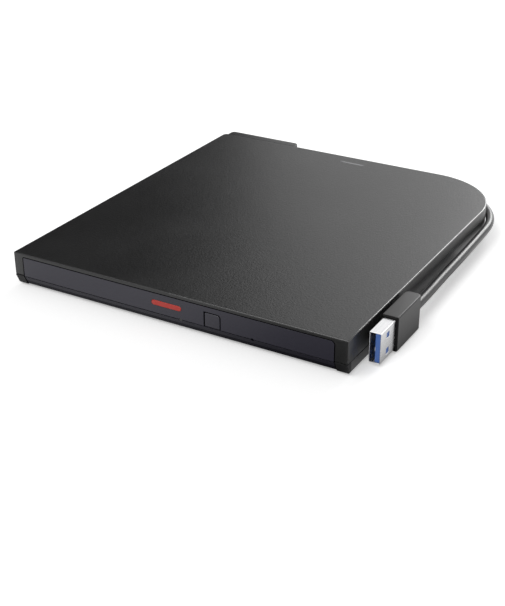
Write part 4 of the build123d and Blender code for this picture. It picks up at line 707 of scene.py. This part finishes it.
# The lower lip is matt, and its colour is darkened to 0.7 as painted shade.
zone(front_plastic, lip_matt_and_shade, 0.7, Specular_IOR_Level=0.16, Roughness=0.5)
# Painted shade: the lip's lowest band is darkened to 0.4 of the colour, with little mirror part.
zone(front_plastic, lip_underside_shade, 0.4, Specular_IOR_Level=0.05)
from_solid("tray_bezel", front_plastic, "front", 0.0001, "tray")
bar_red = grained("gloss_red_plastic", (0.43, 0.021, 0.011), 0.3, 1500.0, relief=0.000001, gloss=0.04)
bar_part = soft_block(bar_low, bar_high, bar_corner, (bar_round, 0.0), front_order, 12)
make_piece("red_bar", [bar_part], bar_red, "accent", "accent_bar", body="tray")
button_plastic = grained("satin_button_plastic", (0.021, 0.0195, 0.03), 0.3, **satin)
# Painted shade: the button's sides in its gap are darkened to 0.12 of the colour, with almost no mirror part.
zone(button_plastic, button_gap_shade, 0.12, Specular_IOR_Level=0.01)
button_parts = [
    soft_block(cap_low, cap_high, cap_corners, (cap_round, 0.0), front_order, 10),
    soft_block(flange_low, flange_high, flange_corner, (flange_round, 0.0), front_order, 4),
]
make_piece("button_cap", button_parts, button_plastic, "button", "eject_button", body="button")
smoked_clear = new_material("smoked_clear_plastic", {"Base Color": (0.02, 0.02, 0.022, 1), "Roughness": 0.2})
from_solid("indicator_lens", smoked_clear, "clear", 0.00005, "tray")


# Mechanism lid, foam pads
# A thin steel lid closes the mechanism, domed over the hub, and foam pads press on it.
foam_places = ((0.0395, 0.0265), (0.0395, -0.0675), (-0.0505, 0.0265), (-0.0505, -0.0675))
foam_side, foam_bottom, foam_top, foam_corner, foam_round = 0.011, 0.0120, 0.0133, 0.0009, 0.0003
from_solid("drive_lid", rolled_steel, "steel", 0.00008)
foam = grained("grey_foam", (0.05, 0.05, 0.052), 0.8, 1500.0, relief=0.00008, gloss=0.1, tone=0.4)
foam_parts = [
    soft_block((x, y, foam_bottom), (x + foam_side, y + foam_side, foam_top), foam_corner, (foam_round, foam_round))
    for x, y in foam_places
]
make_piece("foam_pad_set", foam_parts, foam, "foam", "foam_pads")


# Lid
# The upper half of the case is one black moulding with the same eroded texture, open at
# the front for the tray and slit at the back for the lamp's light.
lid_colour, lid_roughness = (0.0078, 0.0078, 0.008), 0.34
lid_texture = {"grain": 2000.0, "relief": 0.00005, "gloss": 0.12, "tone": 0.8}
opening_wall_shade = {"X": (-0.0686, 0.0678), "Y": (-0.0824, -0.0812), "Z": (0.0, 0.0134)}
polished_edge = {"X": (0.0, 0.08), "Z": (0.0142, 0.014597)}
lid_left, lid_right, lid_front, lid_back = -0.0725, 0.0725, -0.0825, 0.0775
front_corner, right_corner, left_corner = 0.00025, 0.032, 0.0025
lid_top, lid_under, lid_seam = 0.0146, 0.0133, 0.0054
lid_wall, lid_round, lid_border = 0.0015, 0.0004, 0.0008
opening, opening_top, opening_corners = (-0.0684, 0.0676), 0.0133, (0.0009, 0.0017)
slit_centre, slit_length, slit_width = (0.0, 0.0703), 0.0127, 0.0009
wire_slot, wire_slot_top = (-0.0514, -0.0560), 0.0097
post_radius, post_bore, bore_top, post_top = 0.0024, 0.00102, lid_under - 0.001, lid_under + 0.0002
# The columns of the lid's outline: at a front corner, on the right, at the large corner,
# from there to the slot for the wires, at the back left corner and on the left. Those of
# the sides and the back keep a margin from the front, the large and the left corner.
front_steps, right_steps, large_steps, slot_steps, back_steps, left_steps = 5, 12, 40, 9, 9, 14
front_margin, large_margin, left_margin = 0.01, 0.002, 0.006
# Columns across the opening, and how far below the opening's top its edge lies in each.
left_turn, right_turn = quarter(7), quarter(9)
opening_columns = [
    *(opening[0] + opening_corners[0] * (1 - np.cos(left_turn))),
    *np.linspace(opening[0] + opening_corners[0], opening[1] - opening_corners[1], 25)[1:-1],
    *(opening[1] - opening_corners[1] * (1 - np.sin(right_turn))),
]
opening_drop = np.zeros(len(opening_columns))
opening_drop[: len(left_turn)] = opening_corners[0] * (1 - np.sin(left_turn))
opening_drop[-len(right_turn) :] = opening_corners[1] * (1 - np.cos(right_turn))


def line(x, y):
    """Points in a row, where x or y is one number and the other has one for each."""
    return np.column_stack(np.broadcast_arrays(x, y))


def lid_ring(inset):
    """The lid's outline from above, moved in by inset, as one closed row of points from
    the front left corner round to the right. Each corner is a quarter circle that shrinks
    with the inset. The front has a column for each point of the opening's edge, and its
    two end columns stand twice, once for the wall beside the opening. So do the back's
    columns at the sides of the slot for the wires."""
    right_y = np.linspace(lid_front + front_margin, lid_back - right_corner - large_margin, right_steps)
    to_slot = np.linspace(lid_right - right_corner - large_margin, wire_slot[0], slot_steps)
    left_y = np.linspace(lid_back - left_margin, lid_front + front_margin, left_steps)
    rows = [
        corner_arc((lid_left, lid_front), (1, 1), front_corner, inset, math.pi, front_steps),
        line([opening[0], *opening_columns, opening[1]], lid_front + inset),
        corner_arc((lid_right, lid_front), (-1, 1), front_corner, inset, 1.5 * math.pi, front_steps),
        line(lid_right - inset, right_y),
        corner_arc((lid_right, lid_back), (-1, -1), right_corner, inset, 0.0, large_steps),
        line([*to_slot, *wire_slot, wire_slot[1], lid_left + left_margin], lid_back - inset),
        corner_arc((lid_left, lid_back), (1, -1), left_corner, inset, 0.5 * math.pi, back_steps),
        line(lid_left + inset, left_y),
    ]
    return np.concatenate(rows)


def slit_ring(outline):
    """The slit's edge, with a point for each point of the outline, in its direction: on
    the slit's rectangle, and within the half circles at its ends."""
    away = outline - slit_centre
    heading = np.arctan2(away[:, 1], away[:, 0])
    direction = np.stack([np.cos(heading), np.sin(heading)], -1)
    reach = (np.array([slit_length / 2, slit_width / 2]) / np.maximum(abs(direction), 1e-9)).min(axis=1)
    points = direction * reach[:, None]
    over = np.maximum(abs(points[:, 0]) - (slit_length / 2 - slit_width / 2), 0)
    rounded = np.sqrt(np.maximum((slit_width / 2) ** 2 - over**2, 0))
    points[:, 1] = np.sign(points[:, 1]) * np.minimum(abs(points[:, 1]), rounded)
    return points + slit_centre


def at_height(outline, height):
    """Outline points at one height, or each at its own."""
    return np.column_stack([outline, np.broadcast_to(height, len(outline))])


# The upper end of the stretch that each column loses: the opening's edge in its columns,
# and the start of the opening's nearer rounded corner in the others. The lower end is the
# seam, or the top of the slot for the wires in the two columns over it.
outline_count = len(lid_ring(0.0))
opening_start, slot_start = front_steps + 1, outline_count - left_steps - back_steps - 4
in_opening = np.zeros(outline_count, bool)
in_opening[opening_start : opening_start + len(opening_columns)] = True
edge_height = np.full(outline_count, opening_top - opening_corners[1])
edge_height[:opening_start] = opening_top - opening_corners[0]
edge_height[slot_start - 3 :] = opening_top - opening_corners[0]
edge_height[in_opening] = opening_top - opening_drop
low_height = np.where(in_opening, edge_height, lid_seam)
low_height[slot_start : slot_start + 2] = wire_slot_top
lid_rows = [at_height(slit_ring(lid_ring(0.0)), height) for height in (lid_under, lid_top)]
for inset, height in (
    (lid_border, lid_top),
    *((lid_round * (1 - math.sin(angle)), lid_top - lid_round * (1 - math.cos(angle))) for angle in quarter(6)),
    (0.0, lid_top - lid_border),
    (0.0, edge_height),
    (0.0, low_height),
    (lid_wall, low_height),
    (lid_wall, edge_height),
    (lid_wall, lid_under),
):
    lid_rows.append(at_height(lid_ring(inset), height))
lid_parts = [(np.concatenate(lid_rows), net(len(lid_rows), outline_count, loop=True))]
post_inside = [(0, bore_top), (post_bore, bore_top), (post_bore, lid_seam)]
post_profile = [*post_inside, (post_radius, lid_seam), (post_radius, post_top), (0, post_top)]
lid_parts += [turned(post_profile, (x, y, 0.0), steps=32) for x, y in case_screws]
lid_plastic = grained("eroded_lid_plastic", lid_colour, lid_roughness, **lid_texture)
# Painted shade: the walls of the lid's front opening are darkened to 0.12 of the colour, with almost no mirror part.
zone(lid_plastic, opening_wall_shade, 0.12, Specular_IOR_Level=0.01)
zone(lid_plastic, polished_edge, Roughness=0.16, Specular_IOR_Level=0.6, Coat_Weight=0.25)
make_piece("lid_shell", lid_parts, lid_plastic, "case", "top_cover")
frosted_clear = new_material("frosted_clear_plastic", {"Base Color": (0.19, 0.19, 0.2, 1), "Roughness": 0.2})
from_solid("light_pipe", frosted_clear, "clear")


# Rear block and gland
# A small moulding is screwed to the back of the case, and the lead comes out of its end
# through a ribbed rubber gland.
block_plastic = grained("eroded_block_plastic", lid_colour, lid_roughness, **lid_texture)
from_solid("rear_block", block_plastic, "case", 0.00012)
gland_axis, gland_flat, gland_start, gland_end = (0, 0.0799, 0.0072), 0.0815, -0.0372, -0.0240
sleeve_start, sleeve_radii, gland_neck = -0.0340, (0.00225, 0.00195), 0.0019
flange_end, flange_radius = -0.0360, 0.00225
groove_start, groove_pitch, groove_half, groove_floor = 0.0024536, 0.003067, 0.00036, 0.00189
wire_colours = ((0.01, 0.01, 0.01), (0.02, 0.2, 0.03), (0.55, 0.55, 0.52), (0.4, 0.015, 0.012), (0.4, 0.4, 0.41))
wire_levels = (0.005075, 0.009325)
# The sleeve tapers from the first radius to the second. Each of its three grooves sinks by
# the rest down to the floor's radius times exp(-(d / half)^4), d being the distance from
# the groove's middle.
sleeve_x = np.linspace(sleeve_start, gland_end, 90)
sleeve_radius = np.interp(sleeve_x, (sleeve_start, gland_end), sleeve_radii)
for groove in (0, 1, 2):
    middle = sleeve_start + groove_start + groove * groove_pitch + groove_half
    sink = sleeve_radius - groove_floor
    sleeve_radius = sleeve_radius - sink * np.exp(-(((sleeve_x - middle) / groove_half) ** 4))
gland_flange = [(0, gland_start), (flange_radius, gland_start), (flange_radius, flange_end), (gland_neck, flange_end)]
gland_profile = [*gland_flange, (gland_neck, sleeve_start), *zip(sleeve_radius, sleeve_x), (0, gland_end)]
gland_points, gland_faces = turned(gland_profile, gland_axis, (0.5 * math.pi, 0.0), 64)
in_flange = gland_points[:, 0] <= flange_end
gland_points[in_flange, 1] = np.minimum(gland_points[in_flange, 1], gland_flat)
gland_rubber = grained("gland_rubber", (0.018,) * 3, 0.5, 4200.0)
gland_parts = [(gland_points, gland_faces)]
make_piece("ribbed_gland", gland_parts, gland_rubber, "rubber", "cord_gland")


def share_along(tree, axis, low, high):
    """How far the shaded point is from low to high along an axis of its object, 0 to 1."""
    inputs = {"Value": object_axes(tree)[axis], "From Min": low, "From Max": high}
    return add_node(tree, "MapRange", inputs).outputs["Result"]


wire_sheath = grained("wire_sheath", (1.0, 1.0, 1.0), 0.4, 2000.0)
wire_share = share_along(wire_sheath.node_tree, "Z", *wire_levels)
wire_stops = [(number / len(wire_colours), colour) for number, colour in enumerate(wire_colours)]
wire_tint = colour_ramp(wire_sheath.node_tree, wire_share, wire_stops, "CONSTANT")
connect(shader_of(wire_sheath), {"Base Color": wire_tint})
from_solid("lead_wires", wire_sheath, "wires")


# Lead
# A round lead in a smooth, slightly glossy jacket. It is stored round the case: from the
# gland along the back wall, round the large corner and forward to the plug.
cord_height = 0.0072
cord_exit = (-0.024, 0.0799)
cord_route = [
    cord_exit,
    (-0.007, 0.0799),
    (0.0145, 0.0797),
    (0.034, 0.0798),
    (0.04961, 0.0795),
    (0.06539, 0.07039),
    (0.0745, 0.05461),
    (0.07535, 0.0345),
    (0.076, 0.0115),
    (0.0763, -0.008),
    (0.0769, -0.0245),
    (0.0769, -0.0365),
]
cord_curve = bpy.data.curves.new("stored_lead", "CURVE")
cord_curve.dimensions = "3D"
cord_line = cord_curve.splines.new("NURBS")
cord_line.points.add(len(cord_route) - 1)
for point, (x, y) in zip(cord_line.points, cord_route):
    point.co = (x, y, cord_height, 1)
cord_line.order_u = 3
cord_line.use_endpoint_u = True
cord_line.resolution_u = 12
cord_curve.bevel_depth = 0.0018
cord_curve.bevel_resolution = 8
cord_curve.use_fill_caps = True
stored_lead = add_object("stored_lead", cord_curve)
cord_jacket = grained("lead_jacket", (0.017, 0.017, 0.0175), 0.34, 2600.0, relief=0.000002, gloss=0.08)
cord_curve.materials.append(cord_jacket)
settle(stored_lead, "cord", "usb_cord")


# Plug
# The plug stands on edge beside the case. Its matt grip is moulded over a folded steel
# shell, bright plated, and the blue tongue in its mouth carries gilt contacts.
grip_front_shade = {"Y": (-0.0590, -0.0578)}
grip_plastic = grained("matt_grip_plastic", (0.015, 0.0148, 0.0148), 0.42, 3400.0)
# Painted shade: the grip's front end is darkened to 0.35 of the colour, with little mirror part.
zone(grip_plastic, grip_front_shade, 0.35, Specular_IOR_Level=0.08)
shell_metal = metal(
    "plated_shell", (0.76, 0.76, 0.77), 0.28, streak=(2400.0, 60.0, 2400.0), gloss=0.12, relief=0.000001
)
tongue_blue = grained("blue_tongue_plastic", (0.075, 0.17, 0.5), 0.36, 2400.0, relief=0.000002)
gilt = metal("gilt_contact", (0.85, 0.6, 0.24), 0.22, streak=(500.0,) * 3)
plug_grip = from_solid("plug_grip", grip_plastic, "grip", 0.0007)
plug_shell = from_solid("plug_shell", shell_metal, "bright", 0.00014)
plug_tongue = from_solid("plug_tongue", tongue_blue, "tongue", 0.00008)
plug_contacts = from_solid("plug_contacts", gilt, "gilt")


# Floor, light and camera
# The photo is taken on white, from the front right and a little above. A large soft box
# stands behind on the right, a black card behind on the left keeps the far side of the
# lid dark, and a second card, seen only in reflections, lies in front of the right half
# of the case as painted shade of the floor there.
floor_colour, floor_lift, floor_reach, floor_level = 0.82, 0.38, 3.0, -0.00002
room_light = 0.5
card_colour, card_distance = 0.02, 0.9
card_heading, card_heights = np.radians(np.linspace(-30.6, -125, 20)), np.linspace(0.01, 0.9, 5)
# The lying card glows like the floor but is painted shade in reflections: it darkens to the
# right, standing in for shade on the floor in front of and beside the case. A narrow strip
# along the right wall is kept bright, a painted highlight on the case's side. Each stop is
# a place across it and how bright the card is beside the floor.
shade_stops = (
    ((-0.02, 1.0), (0.0, 0.9), (0.02, 0.62), (0.04, 0.3), (0.07, 0.12))
    + ((0.0725, 0.95), (0.0755, 0.95), (0.077, 0.08), (0.082, 0.55), (0.09, 0.7))
)
shade_reach, shade_depth, shade_level = (-0.02, 0.09), (-0.125, 0.03), 0.0002
camera_place = (0.21939, -0.40147, 0.21002)
camera_back = (0.44418, -0.76923, 0.45933)
camera_roll = -0.1428
focal_length_px, photo_height_px, sensor_height = 1189.757, 606, 36.0


def seen_directly(tree):
    """1 for rays that the camera, a mirror or glass sees, and 0 for those that light."""
    path = tree.nodes.new("ShaderNodeLightPath").outputs
    seen = math_node(tree, "MAXIMUM", path["Is Camera Ray"], path["Is Glossy Ray"])
    return math_node(tree, "MAXIMUM", seen, path["Is Transmission Ray"])


def stage_sheet(name, points, material):
    """A sheet of the studio through a grid of points, rows by columns."""
    points = np.asarray(points, float)
    rows, columns = points.shape[:2]
    index = np.arange(rows * columns).reshape(rows, columns)
    quads = np.stack([index[:-1, :-1], index[:-1, 1:], index[1:, 1:], index[1:, :-1]], -1)
    mesh = bpy.data.meshes.new(name)
    mesh.from_pydata(points.reshape(-1, 3).tolist(), [], quads.reshape(-1, 4).tolist())
    mesh.materials.append(material)
    sheet = add_object(name, mesh)
    return sheet


matt = {"Roughness": 0.9, "Specular IOR Level": 0.0}
floor_inputs = {**matt, "Base Color": (floor_colour,) * 3 + (1,), "Emission Color": (1, 1, 1, 1)}
floor_paint = new_material("pale_floor", floor_inputs)
floor_glow = math_node(floor_paint.node_tree, "MULTIPLY", seen_directly(floor_paint.node_tree), floor_lift)
connect(shader_of(floor_paint), {"Emission Strength": floor_glow})
floor_sides = (-floor_reach, floor_reach)
stage_sheet("floor", [[(x, y, floor_level) for x in floor_sides] for y in floor_sides], floor_paint)

room = bpy.data.worlds.new("white_room")
bpy.context.scene.world = room
room.use_nodes = True
room_strength = add_product(room.node_tree, room_light, seen_directly(room.node_tree), 1.0 - room_light)
connect(room.node_tree.nodes["Background"], {"Color": (1, 1, 1, 1), "Strength": room_strength})

card_points = [
    [(card_distance * math.sin(heading), card_distance * math.cos(heading), height) for heading in card_heading]
    for height in card_heights
]
card_paint = new_material("black_card", {**matt, "Roughness": 1.0, "Base Color": (card_colour,) * 3 + (1,)})
standing_card = stage_sheet("standing_card", card_points, card_paint)

shade_paint = new_material("painted_reflection_shade", {**matt, "Emission Strength": floor_lift / floor_colour})
shade_width = shade_reach[1] - shade_reach[0]
shades = [((x - shade_reach[0]) / shade_width, (shade * floor_colour,) * 3) for x, shade in shade_stops]
across = share_along(shade_paint.node_tree, "X", *shade_reach)
shade = colour_ramp(shade_paint.node_tree, across, shades)
connect(shader_of(shade_paint), {"Base Color": shade, "Emission Color": shade})
shade_points = [[(x, y, shade_level) for x in shade_reach] for y in shade_depth]
shade_reflection_card = stage_sheet("shade_reflection_card", shade_points, shade_paint)
for card in (standing_card, shade_reflection_card):
    card.visible_camera = False
    card.visible_shadow = False
    card.visible_diffuse = False


def soft_lamp(name, place, target, size, power):
    """A square lamp at place that looks at target."""
    light = bpy.data.lights.new(name, "AREA")
    light.shape = "SQUARE"
    light.size = size
    light.energy = power
    lamp = add_object(name, light)
    lamp.location = place
    aim = np.subtract(target, place)
    aim = aim / np.linalg.norm(aim)
    lamp.rotation_euler = (math.acos(-aim[2]), 0, math.atan2(-aim[0], aim[1]))


soft_lamp("overhead_lamp", place=(-0.24, -0.78, 1.15), target=(0, 0, 0), size=0.8, power=7.5)
soft_lamp("back_right_lamp", place=(0.08, 1.1, 0.56), target=(0, 0, 0.01), size=0.5, power=7.2)

back = np.array(camera_back) / np.linalg.norm(camera_back)
right = np.cross([0, 0, 1], back)
right = right / np.linalg.norm(right)
up = np.cross(back, right)
roll = math.radians(camera_roll)
tilted_right = math.cos(roll) * right + math.sin(roll) * up
tilted_up = -math.sin(roll) * right + math.cos(roll) * up
camera_data = bpy.data.cameras.new("camera")
camera_data.sensor_fit = "VERTICAL"
camera_data.sensor_height = sensor_height
camera_data.lens = focal_length_px / photo_height_px * sensor_height
camera_data.clip_start = 0.01
camera = add_object("camera", camera_data)
turn_and_place = np.eye(4)
turn_and_place[:3] = np.stack([tilted_right, tilted_up, back, camera_place], axis=1)
camera.matrix_world = Matrix(turn_and_place.tolist())
bpy.context.scene.camera = camera
bpy.context.scene.view_settings.view_transform = "Standard"
